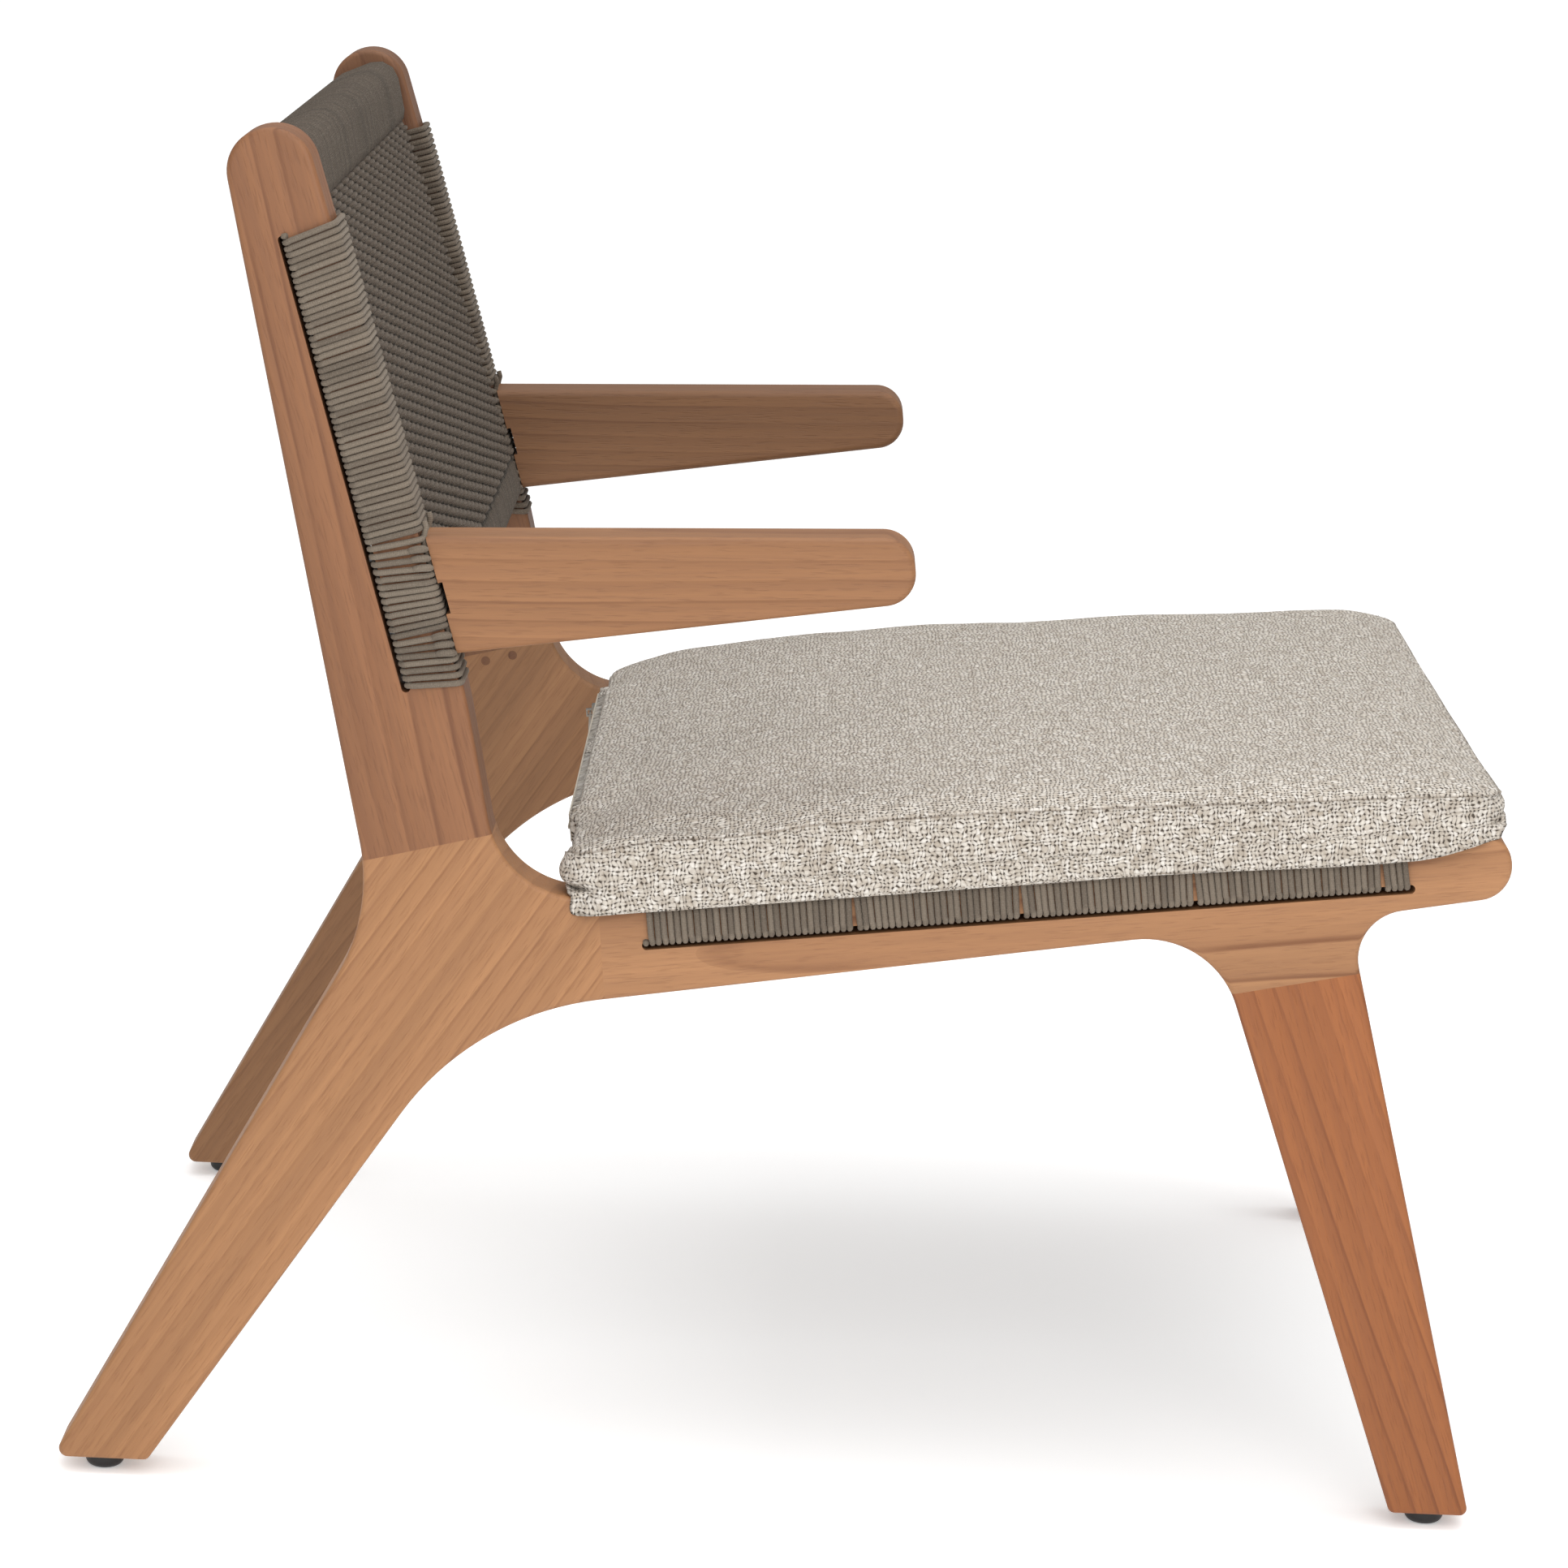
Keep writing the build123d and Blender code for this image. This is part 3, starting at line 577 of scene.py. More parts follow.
def fillet_loop(corners, grow, steps=3):
    """Rounded outline through (point, radius) corners, moved outward by grow."""
    number = len(corners)
    area = sum(corners[k][0][0] * corners[(k + 1) % number][0][1]
               - corners[(k + 1) % number][0][0] * corners[k][0][1] for k in range(number))
    if area < 0:
        corners = corners[::-1]
    points = []
    for k in range(number):
        here, radius = np.array(corners[k][0]), corners[k][1]
        before = np.array(corners[k - 1][0])
        after = np.array(corners[(k + 1) % number][0])
        a = (before - here) / np.linalg.norm(before - here)
        b = (after - here) / np.linalg.norm(after - here)
        half = math.acos(float(a @ b)) / 2
        middle = (a + b) / np.linalg.norm(a + b)
        centre = here + middle * radius / math.sin(half)
        out_a = here + a * radius / math.tan(half) - centre
        out_b = here + b * radius / math.tan(half) - centre
        start = math.atan2(out_a[1], out_a[0])
        sweep = math.atan2(out_b[1], out_b[0]) - start
        sweep = (sweep + math.pi) % (2 * math.pi) - math.pi
        for j in range(steps + 1):
            angle = start + sweep * j / steps
            points.append((centre[0] + (radius + grow) * math.cos(angle),
                           centre[1] + (radius + grow) * math.sin(angle)))
    return points


BAR_HALF, BAR_RADIUS = 13.1, 6.0      # a square crossbar's half width and its edges' radius
BAR_PITCH = 3.42


def square_bar(line, distance):
    """Corners of a square crossbar let into the laths behind the rope's line."""
    half = BAR_HALF
    centre = ROPE + half
    steps = ((-half, -half), (half, -half), (half, half), (-half, half))
    return [(along(line, distance + a, centre + b), BAR_RADIUS) for a, b in steps]


def wind_bar(name, corners, width, seed):
    """Rope wound round a crossbar from side to side."""
    strands = Strands(seed)
    loop = fillet_loop(corners, ROPE / 2)
    turns = int(round(width / BAR_PITCH))
    step = (width - ROPE) / turns
    path, tones = [], []
    for turn_index in range(turns):
        tone = strands.random.random()
        lift = strands.random.uniform(-0.12, 0.2)
        for k, (u, z) in enumerate(loop):
            x = -width / 2 + ROPE / 2 + step * (turn_index + k / len(loop))
            path.append((x, u, z + lift * 0.4))
            tones.append(tone)
    strands.add(path, tones=tones)
    # the crossbars take the darker rope copy, as painted shade
    return strands.build(name, panel_shaded_colour)


TOP_RAIL = [((-308.5, 716.5), 8.0), ((-314.8, 738.0), 8.0), ((-279.5, 753.5), 10.0),
            ((-270.5, 713.5), 6.0)]
FRONT_RAIL = [((361.0, 371.0), 7.0), ((362.5, 397.0), 7.0), ((390.0, 397.0), 10.0),
              ((389.0, 373.5), 7.0)]
BAR_AT = 20.5                         # a square crossbar's middle, from the rope line's end
FULL_SPAN = 2 * (INNER - 0.2)
INSIDE_SPAN = 2 * (INNER - ROPE - 0.2)
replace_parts(wind_bar("back_top_strands", TOP_RAIL, FULL_SPAN, 31), "back_top_rope")
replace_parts(wind_bar("seat_front_strands", FRONT_RAIL, FULL_SPAN, 32), "seat_front_rope")
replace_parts(wind_bar("back_bottom_strands", square_bar(POST_ROPE, BAR_AT), INSIDE_SPAN, 33),
            "back_bottom_rope")
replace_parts(wind_bar("seat_rear_strands", square_bar(SEAT_ROPE, length_of(SEAT_ROPE) - BAR_AT),
                     INSIDE_SPAN, 34), "seat_rear_rope")


WEAVE_COLUMNS = 32                    # groups of strands across the panel
DOWN_PITCH, DOWN_R = 3.28, 1.4        # the strands of a group, pulled thin
UNDER_TONE = -0.6                     # they lie in deep shade under the cross strands
WEAVE_SWING = 2.9                     # how far a cross strand goes to either side


def weave(name, start, end, normal_out, rows, seed, node, ends):
    """Straight strands down in groups of five; every cross strand goes over one, under the next."""
    strands = Strands(seed, sides=6)
    start, end = np.array(start), np.array(end)
    run = np.linalg.norm(end - start)
    down = (end - start) / run
    out = np.array(normal_out) / np.linalg.norm(normal_out)
    column = INSIDE_SPAN / WEAVE_COLUMNS
    row = run / rows
    jitter = strands.random

    def flat_wave(t):
        """Rounded square wave with period 2 and value 1 in the middle of [0, 1]."""
        return math.tanh(2.1 * math.sin(math.pi * t)) / math.tanh(2.1)

    def at(x, s, n):
        u, z = start + down * s + out * n
        return (x, u, z)

    for group in range(WEAVE_COLUMNS):
        centre = -INSIDE_SPAN / 2 + column * (group + 0.5)
        for k in (-2, -1, 0, 1, 2):
            x = centre + k * DOWN_PITCH
            path = [at(x + jitter.uniform(-0.12, 0.12), s, jitter.uniform(-0.15, 0.15))
                    for s in np.linspace(-ends[0], run + ends[1], rows // 3)]
            strands.add(path, radius=DOWN_R, tones=[UNDER_TONE] * len(path))
    samples = 7                       # points of a cross strand over one group
    for cross in range(rows):
        middle = row * (cross + 0.5) + jitter.uniform(-0.2, 0.2)
        path = [at(-INNER + 0.5, middle, 0.0)]
        for j in range(WEAVE_COLUMNS * samples + 1):
            t = j / samples
            swing = WEAVE_SWING * flat_wave(t + cross % 2)
            path.append(at(-INSIDE_SPAN / 2 + t * column, middle, swing))
        path.append(at(INNER - 0.5, middle, 0.0))
        tone = jitter.uniform(0.72, 1.0)
        strands.add(path, tones=[tone] * len(path))
    made = strands.build(name, weave_shaded_colour)
    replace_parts(made, node)


weave("back_weave_strands", (-272.3, 715.2), (-194.8, 501.1), (0.940, 0.341), 66, 41, "back_weave",
      ends=(1.0, 9.0))
weave("seat_weave_strands", (360.3, 400.1), (-40.9, 352.1), (-0.119, 0.993), 118, 42, "seat_weave",
      ends=(3.0, 8.0))


# ---------------------------------------------------------------- materials of the CAD nodes
def paint(material, *names):
    for name in names:
        mesh = nodes[name].data
        mesh.materials.clear()
        mesh.materials.append(material)


post_grain = grain_turn(unit(POST_ROPE))
leg_grain = grain_turn((0.541, 0.841))
rail_grain = grain_turn(unit(SEAT_ROPE))
foreleg_grain = grain_turn((-0.311, 0.950))
arm_grain = grain_turn((0.9992, 0.039))
cross_grain = (0, 0, math.pi / 2)
HEART_AT = 0.372         # metres from the middle to where the side frames' logs had theirs
# painted shade: the left frame's teak is made 12% darker than the right's
for side, seed, shade in (("right", 0.0, 1.0), ("left", 5.3, 0.88)):
    lean = HEART_AT if side == "right" else -HEART_AT

    def board(name, *rest, **more):
        hue = [value * shade for value in more.pop("hue")]
        return teak(f"{side}_{name}_teak", *rest, hue=hue, **more)

    paint(board("post", post_grain, seed + 0.3, (lean, 0.02), 0.02, hue=(145, 98, 64)),
          f"{side}_back_post")
    paint(board("leg", leg_grain, seed + 1.1, (lean, -0.12), 0.02, hue=(175, 126, 84), lines=0.4),
          f"{side}_rear_leg")
    paint(board("rail", rail_grain, seed + 2.2, (lean, -0.32), 0.02, hue=(176, 127, 86), lines=1.0),
          f"{side}_seat_rail")
    paint(board("foreleg", foreleg_grain, seed + 3.4, (lean, 0.30), 0.05, hue=(162, 98, 53),
                lines=0.6), f"{side}_front_leg")
    paint(board("arm", arm_grain, seed + 4.5, (lean, -0.50), 0.01, hue=(157, 110, 72), lines=0.5),
          f"{side}_armrest")
bar_teak = teak("bar_teak", cross_grain, 8.8, (0.06, -0.5), 0.02)
paint(bar_teak, "back_top_rail", "back_bottom_rail", "seat_front_rail", "seat_rear_rail")
paint(teak("pin_teak", cross_grain, 2.9, (0.02, -0.35), 0.02, (118, 78, 50)), "lock_pins")
paint(teak("plug_teak", cross_grain, 4.1, (0.02, -0.5), 0.02, (156, 106, 70)), "arm_bolt_plugs")
paint(teak("tenon_teak", leg_grain, 6.1, (0.3, -0.3), 0.02, (168, 118, 80)), "post_tenons",
      "rail_tenons", "leg_tenons")
steel = speckled("steel", srgb(150, 150, 150), srgb(186, 186, 184), (0.28, 0.42), 900, 1.0)
paint(steel, "arm_bolts", "arm_bolt_washers", "glide_nails")
paint(speckled("insert_steel", srgb(158, 146, 112), srgb(190, 176, 138), (0.3, 0.45), 900, 1.0),
      "arm_inserts")
paint(speckled("glide_plastic", srgb(24, 24, 25), srgb(36, 36, 37), (0.38, 0.55), 1500),
      "foot_glides")
foam = speckled("foam", srgb(228, 220, 196), srgb(240, 233, 212), (0.85, 0.95), 900, bump=0.0004)
paint(foam, "cushion_core")
zip_metal = speckled("zip_metal", srgb(150, 146, 138), srgb(182, 178, 170), (0.25, 0.4), 1200, 1.0)
paint(zip_metal, "zip_slider", "zip_pull")
zip_cloth = speckled("zip_cloth", srgb(188, 178, 162), srgb(206, 197, 182), (0.8, 0.9), 1400,
                     bump=0.0002)
paint(zip_cloth, "zip_tape")
zip_plastic = speckled("zip_plastic", srgb(196, 188, 174), srgb(214, 206, 192), (0.35, 0.5), 1200)


# ---------------------------------------------------------------- cushion
FOOT = (132.0, 376.8)               # the seat plane's own origin, and its forward direction
FORWARD = (0.99294, 0.11861)
NEAR, FAR = -333.8, 262.5           # the cushion's sides, before it is filled
REAR, FRONT = -255.6, 261.0
THICK = 38.0
CORNERS = ((24.0, 30.0), (46.0, 34.0))      # plan radii: (near, far) by (rear, front)
ZIP_BACK = 256.2                    # how far back the cover is under the zip's tape
ZIP_MIDDLE, ZIP_HALF, ZIP_UP = -31.5, 185.0, 14.0
CELL = 0.0025                       # size of one yarn crossing of the fabric, in metres


def heather_fabric(name):
    """Chunky basket weave of light heather yarns, on the cushion's own axes."""
    p = Paint(name)
    slope = math.atan2(FORWARD[1], FORWARD[0])
    at = p.map(p.coords.outputs["Object"], turn=(slope, 0, 0))
    facing = p.node("ShaderNodeMapping", {"Vector": p.coords.outputs["Normal"],
                                          "Rotation": (slope, 0, 0)}, vector_type="VECTOR")
    nx, ny, nz = p.node("ShaderNodeSeparateXYZ", {"Vector": facing.outputs[0]}).outputs
    x, y, z = p.node("ShaderNodeSeparateXYZ", {"Vector": at}).outputs
    flat = p.math("GREATER_THAN", p.math("ABSOLUTE", nz), 0.66)
    sideways = p.math("GREATER_THAN", p.math("ABSOLUTE", nx), p.math("ABSOLUTE", ny))
    along_seam = p.math("MULTIPLY_ADD", sideways, p.math("SUBTRACT", y, x), x)
    a = p.math("MULTIPLY_ADD", flat, p.math("SUBTRACT", x, along_seam), along_seam)
    b = p.math("MULTIPLY_ADD", flat, p.math("SUBTRACT", y, z), z)
    grid = p.node("ShaderNodeCombineXYZ", {"X": a, "Y": b}).outputs[0]
    grid = p.map(grid, scale=(1 / CELL, 1 / CELL, 1))
    for scale, reach in ((0.30, 2.4), (1.1, 0.9)):
        sway = p.node("ShaderNodeTexNoise", {"Vector": grid, "Scale": scale, "Detail": 1.0})
        moved = p.node("ShaderNodeVectorMath", {0: sway.outputs["Color"], 1: (0.5, 0.5, 0.5)},
                       operation="SUBTRACT").outputs[0]
        grid = p.node("ShaderNodeVectorMath", {0: moved, 1: (reach, reach, 0), 2: grid},
                      operation="MULTIPLY_ADD").outputs[0]
    cell_at = p.node("ShaderNodeVectorMath", {0: grid}, operation="FLOOR").outputs[0]
    inside = p.node("ShaderNodeVectorMath", {0: grid}, operation="FRACTION").outputs[0]
    fa, fb, _ = p.node("ShaderNodeSeparateXYZ", {"Vector": inside}).outputs
    ca, cb, _ = p.node("ShaderNodeSeparateXYZ", {"Vector": cell_at}).outputs
    odd = p.math("FLOORED_MODULO", p.math("ADD", ca, cb), 2.0)
    across = p.math("MULTIPLY_ADD", odd, p.math("SUBTRACT", fb, fa), fa)
    along_yarn = p.math("MULTIPLY_ADD", odd, p.math("SUBTRACT", fa, fb), fb)
    # each cell is one short float, and the holes where four cells meet are painted dark as deep
    # shade
    u = p.math("MULTIPLY_ADD", across, 2.0, -1.0)
    v = p.math("MULTIPLY_ADD", along_yarn, 2.0, -1.0)
    u, v = p.math("MULTIPLY", u, u), p.math("MULTIPLY", v, v)
    height = p.math("MULTIPLY_ADD", u, -0.55, 1.0)
    height = p.math("MULTIPLY_ADD", v, -0.25, height)
    height = p.math("MULTIPLY_ADD", p.math("MULTIPLY", u, v), -0.9, height)
    pick = p.node("ShaderNodeTexWhiteNoise", {"Vector": cell_at}, noise_dimensions="3D")
    yarn = p.ramp(pick.outputs["Value"], [(0.0, srgb(198, 186, 170)), (0.15, srgb(218, 207, 192)),
                                          (0.5, srgb(230, 221, 208)), (0.9, srgb(246, 239, 229))])
    hair = p.noise(at, scale=2200, detail=2.0, rough=0.7)
    yarn = p.mix(p.span(hair, 0.35, 0.7, 0.0, 0.30), yarn, srgb(252, 247, 240))
    patch = p.noise(at, scale=190, detail=3.0, rough=0.65)
    yarn = p.mix(p.span(patch, 0.42, 0.64, 0.0, 0.48), yarn, srgb(172, 156, 138))
    # painted shade: the yarn darkens towards each cell's edges, and goes near black-brown in the
    # holes where cells meet
    gap = p.span(height, 0.10, 0.50, 1.0, 0.0)
    edge = p.span(height, 0.35, 0.90, 0.30, 0.0)
    colour = p.mix(edge, yarn, srgb(170, 154, 136))
    colour = p.mix(p.math("MULTIPLY", gap, 0.95), colour, srgb(84, 71, 58))
    # painted shade: the cover is darkened along its seams, where the seam's groove lies
    seam = p.node("ShaderNodeAttribute", attribute_name="seam").outputs["Fac"]
    colour = p.mix(p.span(seam, 0.62, 1.0, 0.0, 0.6), colour, srgb(120, 104, 88))
    p.set(Base_Color=colour, Roughness=0.92, Specular_IOR_Level=0.15, Sheen_Weight=0.12,
          Sheen_Roughness=0.6)
    p.bump(p.math("MULTIPLY_ADD", hair, 0.25, height), 0.0011, 0.9)
    return p.material


def fine_steps(low, high, coarse, fine, edge):
    """Grid lines between two sides, closer together near both."""
    middle = max(int(round((high - low - 2 * edge) / coarse)), 1)
    number = int(round(edge / fine))
    return np.concatenate([np.linspace(low, low + edge, number + 1)[:-1],
                           np.linspace(low + edge, high - edge, middle + 1)[:-1],
                           np.linspace(high - edge, high, number + 1)])


def cushion_blank():
    """Closed grid box with its seams on grid lines.

    Returns its points before and after the plan's corners are rounded, its faces, and which of
    its points are on a seam.
    """
    xs = fine_steps(NEAR, FAR, 8.0, 3.2, 42.0)
    ys = fine_steps(REAR, FRONT, 8.0, 4.2, 42.0)
    zs = np.linspace(0.0, THICK, 11)
    index, points, faces, seams = {}, [], [], []

    def corner(i, j, k):
        key = (i, j, k)
        if key not in index:
            index[key] = len(points)
            points.append((xs[i], ys[j], zs[k]))
            edge = i in (0, len(xs) - 1) or j in (0, len(ys) - 1)
            seams.append(1.0 if edge and k in (0, len(zs) - 1) else 0.0)
        return index[key]

    last_x, last_y, last_z = len(xs) - 1, len(ys) - 1, len(zs) - 1
    for i in range(last_x):
        for j in range(last_y):
            faces.append([corner(i, j, 0), corner(i, j + 1, 0), corner(i + 1, j + 1, 0),
                          corner(i + 1, j, 0)])
            faces.append([corner(i, j, last_z), corner(i + 1, j, last_z),
                          corner(i + 1, j + 1, last_z), corner(i, j + 1, last_z)])
    for k in range(last_z):
        for i in range(last_x):
            faces.append([corner(i, 0, k), corner(i + 1, 0, k), corner(i + 1, 0, k + 1),
                          corner(i, 0, k + 1)])
            faces.append([corner(i, last_y, k), corner(i, last_y, k + 1),
                          corner(i + 1, last_y, k + 1), corner(i + 1, last_y, k)])
        for j in range(last_y):
            faces.append([corner(0, j, k), corner(0, j, k + 1), corner(0, j + 1, k + 1),
                          corner(0, j + 1, k)])
            faces.append([corner(last_x, j, k), corner(last_x, j + 1, k),
                          corner(last_x, j + 1, k + 1), corner(last_x, j, k + 1)])
    points = np.array(points)
    flat = points.copy()
    # round the four corners of the plan
    far_side, front_end = points[:, 0] > (NEAR + FAR) / 2, points[:, 1] > 0
    radius = np.array(CORNERS)[far_side.astype(int), front_end.astype(int)][:, None]
    held = np.clip(points[:, :2], np.array([NEAR, REAR]) + radius, np.array([FAR, FRONT]) - radius)
    away = points[:, :2] - held
    far = np.abs(away).max(axis=1)
    size = np.linalg.norm(away, axis=1)
    size[size == 0] = 1
    points[:, :2] = held + away / size[:, None] * far[:, None]
    return flat, points, faces, np.array(seams)


def mesh_object(name, points, faces):
    mesh = bpy.data.meshes.new(name)
    mesh.from_pydata([tuple(p) for p in points], [], faces)
    mesh.polygons.foreach_set("use_smooth", np.ones(len(faces), dtype=bool))
    made = bpy.data.objects.new(name, mesh)
    scene.collection.objects.link(made)
    return made


def read_points(mesh):
    flat = np.empty(len(mesh.vertices) * 3)
    mesh.vertices.foreach_get("co", flat)
    return flat.reshape(-1, 3)


CUSHION_CAP = 6.0                   # the filling moves no point of the cover further than this
CLOTH_FRAMES = 20


def fill_cushion(points, faces, cap):
    """Blows the sewn cover up like a filled cushion, each point moving no further than cap."""
    blown = mesh_object("cushion_fill", points * MM, faces)
    cloth = blown.modifiers.new("cloth", "CLOTH")
    settings = cloth.settings
    settings.quality = 6
    settings.mass = 0.3
    settings.tension_stiffness = 25
    settings.compression_stiffness = 12
    settings.shear_stiffness = 8
    settings.bending_stiffness = 0.6
    settings.use_pressure = True
    settings.uniform_pressure_force = 4.0
    settings.effector_weights.gravity = 0
    cloth.collision_settings.use_collision = False
    cloth.point_cache.frame_end = CLOTH_FRAMES
    for number in range(1, CLOTH_FRAMES + 1):
        scene.frame_set(number)
    view = blown.evaluated_get(bpy.context.evaluated_depsgraph_get())
    filled = read_points(view.data) / MM
    scene.frame_set(1)
    bpy.data.objects.remove(blown)
    moved = filled - points
    size = np.linalg.norm(moved, axis=1)
    moved *= (np.minimum(size, cap) / np.maximum(size, 1e-6))[:, None]
    return points + moved


def smooth(value, low, high):
    share = np.clip((value - low) / (high - low), 0, 1)
    return share * share * (3 - 2 * share)


def settle(flat, points):
    """Lays the sewn cover on the seat: edge heights, crown, droop over the near rail.

    flat is the plan before its corners are rounded, and points the blank with rounded corners.
    """
    x, y, n = points.T.copy()
    share = n / THICK
    seam_top = np.interp(y, [-257, -207, -117, -6, 104, 193, 240, 264],
                         [20.5, 25.5, 30.0, 29.0, 24.5, 21, 18.5, 14.5])
    from_near, from_far = flat[:, 0] - NEAR, FAR - flat[:, 0]
    # the upper rear seam stands higher along the zip
    from_zip_end = 180 - np.abs(x - ZIP_MIDDLE)
    seam_top = seam_top + 5.5 * smooth(-y, 225, 252) * smooth(from_zip_end, -35, 20)
    from_rear, from_front = flat[:, 1] - REAR, FRONT - flat[:, 1]
    droop = 12.6 + 3.2 * smooth(y, 60, 190) - 8.0 * smooth(y, 205, 256)
    # the underside starts at the seam, runs up beside the rope, and then lies on the seat
    turn_at = (0, 3.2, 6.4, 9.6, 12.8, 16.0, 19.2, 42.0)
    hang = np.interp(from_near, turn_at, (1.0, 0.94, 0.76, 0.50, 0.22, 0.02, 0, 0))
    inward = np.interp(from_near, turn_at, (-0.6, 2.0, 3.2, 3.6, 3.7, 4.2, 8.0, 42.0))
    low = 0.8 - (droop + 0.8) * hang
    under = share < 0.01
    x = x + np.where(under, inward - from_near, 0) * (from_near < 42)
    n = low + share * (seam_top - low)
    # the top is crowned, and falls off to its seams
    edges = np.ones_like(n)
    for away in (from_near, from_far, from_rear, from_front):
        edges = edges * (1 - np.exp(-away / 15.0))
    across = np.clip(1 - np.abs((x - (NEAR + FAR) / 2) / ((FAR - NEAR) / 2)) ** 2.6, 0, 1)
    depth = np.clip(1 - np.abs((y - 2.5) / 257) ** 2.6, 0, 1)
    n = n + np.clip(share, 0, 1) * (5.0 * edges + 5.0 * across * depth)
    # a shallow fold runs in from the pinched rear corner
    fold = np.exp(-((x + 290 + (y + 250) * 0.42) / 15) ** 2) * smooth(-y, 90, 215)
    n = n - 4.4 * fold * smooth(share, 0.7, 1.0)
    beside = np.exp(-((x + 322 + (y + 250) * 0.20) / 13) ** 2) * smooth(-y, 60, 215)
    n = n + 2.0 * beside * smooth(share, 0.8, 1.0)
    # the rear corner bulges back, pinched together above its lower seam
    corner = np.exp(-(from_near / 42) ** 2)
    belly = np.clip(4 * (share + 0.12) * (1.02 - share) / 1.3, 0, 1)
    y = y - 9.5 * corner * belly * smooth(-y, 150, 240)
    # the front side bulges forward, most at the near end
    reach = ((FAR - flat[:, 0]) / (FAR - NEAR)) ** 2
    y = y + 8.0 * reach * (0.35 + 0.65 * belly) * smooth(y, 120, 235)
    pinch = np.exp(-((from_near / 16) ** 2 + (from_rear / 26) ** 2))
    squeeze = pinch * np.exp(-((n + 1.0) / 4.0) ** 2)
    return np.stack([x + 5.0 * squeeze, y + 9.0 * squeeze, n], axis=1)


def keep_off_rope(points):
    """Keeps the cover outside the rope's or the bare wood's rounded edge and above the seat."""
    # the rounded edge is an arc round (middle_x, middle_n) with radius reach
    x, y, n = points.T.copy()
    roped = (y > -214) & (y < 208)
    middle_x = np.where(roped, 323.1, 321.9)
    reach = np.where(roped, 6.2, 3.9)
    middle_n = np.where(roped, -5.3, -6.2)
    over = (np.abs(x) <= middle_x) & (n < 0.6)
    n[over] = 0.6
    dx, dn = np.abs(x) - middle_x, n - middle_n
    gap = np.hypot(np.maximum(dx, 0), np.maximum(dn, 0))
    near = (dx > 0) & (dn > 0) & (gap < reach)
    scale = np.where(near, reach / np.maximum(gap, 1e-6), 1)
    x = np.where(near, np.sign(x) * (middle_x + dx * scale), x)
    n = np.where(near, middle_n + dn * scale, n)
    beside = (dx > 0) & (dn <= 0) & (dx < reach)
    x = np.where(beside, np.sign(x) * (middle_x + reach), x)
    return np.stack([x, y, n], axis=1)


def on_seat(points):
    """Cushion coordinates (X, forward, above the seat) to the frame, in metres."""
    x, y, n = points.T
    forward = FOOT[0] + y * FORWARD[0] - n * FORWARD[1]
    up = FOOT[1] + y * FORWARD[1] + n * FORWARD[0]
    return np.stack([x, -forward, up], axis=1) * MM


def point_normals(points, faces):
    normals = np.zeros_like(points)
    quads = np.array(faces)
    a, b, c, d = (points[quads[:, k]] for k in range(4))
    facing = np.cross(c - a, d - b)
    for k in range(4):
        np.add.at(normals, quads[:, k], facing)
    return normals / np.linalg.norm(normals, axis=1)[:, None]


blank_flat, blank, cover_faces, cover_seams = cushion_blank()
laid = settle(blank_flat, blank)
swell = fill_cushion(laid, cover_faces, CUSHION_CAP) - laid
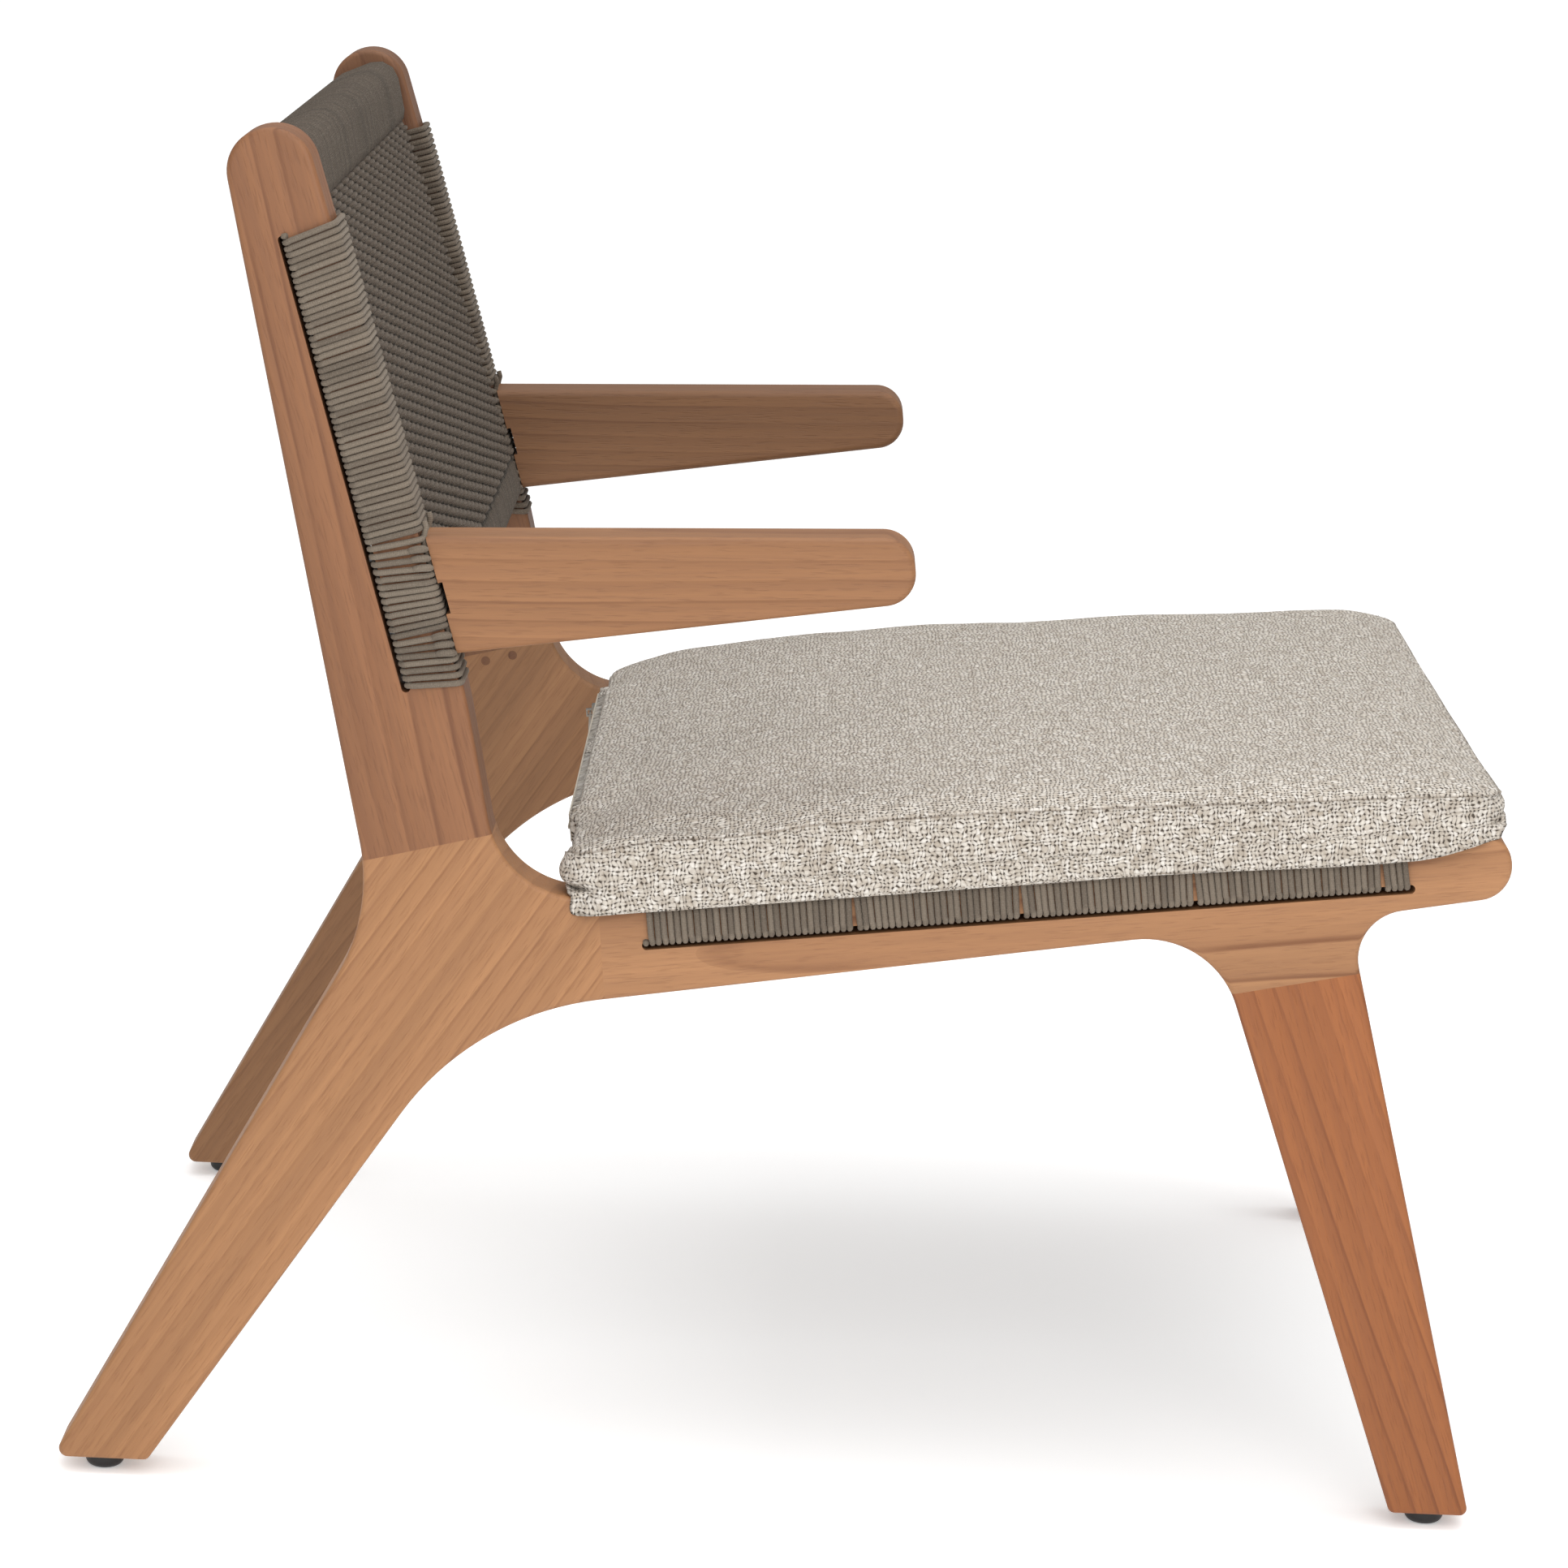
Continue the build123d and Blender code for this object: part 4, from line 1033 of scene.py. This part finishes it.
# seams hold the filling back, the top keeps its settled height, and the underside stays put
underside = blank[:, 2] < 0.5
swell *= (1 - 0.9 * cover_seams)[:, None]
swell[:, 2] *= 0.4
swell[underside] = 0
filled = laid + swell
draft = mesh_object("cushion_draft", filled, cover_faces)
layer = draft.data.attributes.new("seam", "FLOAT", "POINT")
layer.data.foreach_set("value", cover_seams)
finer = draft.modifiers.new("finer", "SUBSURF")
finer.levels = finer.render_levels = 1
view = draft.evaluated_get(bpy.context.evaluated_depsgraph_get())
cover = bpy.data.meshes.new_from_object(view)
cover.name = "cushion"
bpy.data.objects.remove(draft)
points = read_points(cover)
seam_share = np.empty(len(points))
cover.attributes["seam"].data.foreach_get("value", seam_share)
fine_faces = [list(face.vertices) for face in cover.polygons]
outward = point_normals(points, fine_faces)
SEAM_DEPTH, RIPPLE = 1.3, 0.55
points -= outward * (SEAM_DEPTH * smooth(seam_share, 0.6, 1.0))[:, None]
ripple = np.array([math.sin(p[0] * 0.043 + 1.3) * math.sin(p[1] * 0.051 + 0.4)
                   + 0.6 * math.sin(p[0] * 0.023 - p[1] * 0.037) for p in points])
points += outward * (RIPPLE * ripple)[:, None]
points = keep_off_rope(points)
# the rear side lies flat behind the zip
zip_end = smooth(np.abs(points[:, 0] - ZIP_MIDDLE), ZIP_HALF + 3, ZIP_HALF + 19)
limit = -ZIP_BACK - 30 * zip_end
points[:, 1] = np.maximum(points[:, 1], limit)
facing = (np.abs(points[:, 2] - ZIP_UP) < 9.5) & (points[:, 1] < -245) & (zip_end < 0.5)
points[facing, 1] = -ZIP_BACK
cover.vertices.foreach_set("co", on_seat(points).ravel())
cover.update()
cover.materials.clear()
cover.materials.append(heather_fabric("heather_fabric"))
cushion = bpy.data.objects.new("cushion", cover)
scene.collection.objects.link(cushion)
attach(cushion, "cushion")
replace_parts(cushion, "cushion_cover", "cushion_core")


# ---------------------------------------------------------------- zip
def zip_side(x, back, n):
    """Point on the cushion's rear side: across, behind the tape's inner face, above the seat."""
    at = np.array([[x, -(ZIP_BACK + 0.3 + back), n]])
    spot = on_seat(at)[0] / MM
    return (spot[0], -spot[1], spot[2])


coil = Strands(51, sides=6)
turns, steps = 205, 8               # turns of the coil, and points in a turn
helix = []
for k in range(turns * steps + 1):
    angle = 2 * math.pi * k / steps
    across = -ZIP_HALF + 2.0 + (2 * ZIP_HALF - 4.0) * k / (turns * steps)
    helix.append(zip_side(ZIP_MIDDLE + across, 1.62 + 0.26 * math.sin(angle),
                          ZIP_UP + 1.12 * math.cos(angle)))
coil.add(helix, radius=0.33)
teeth = coil.build("zip_coil", zip_plastic, "cushion")
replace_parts(teeth, "zip_teeth")
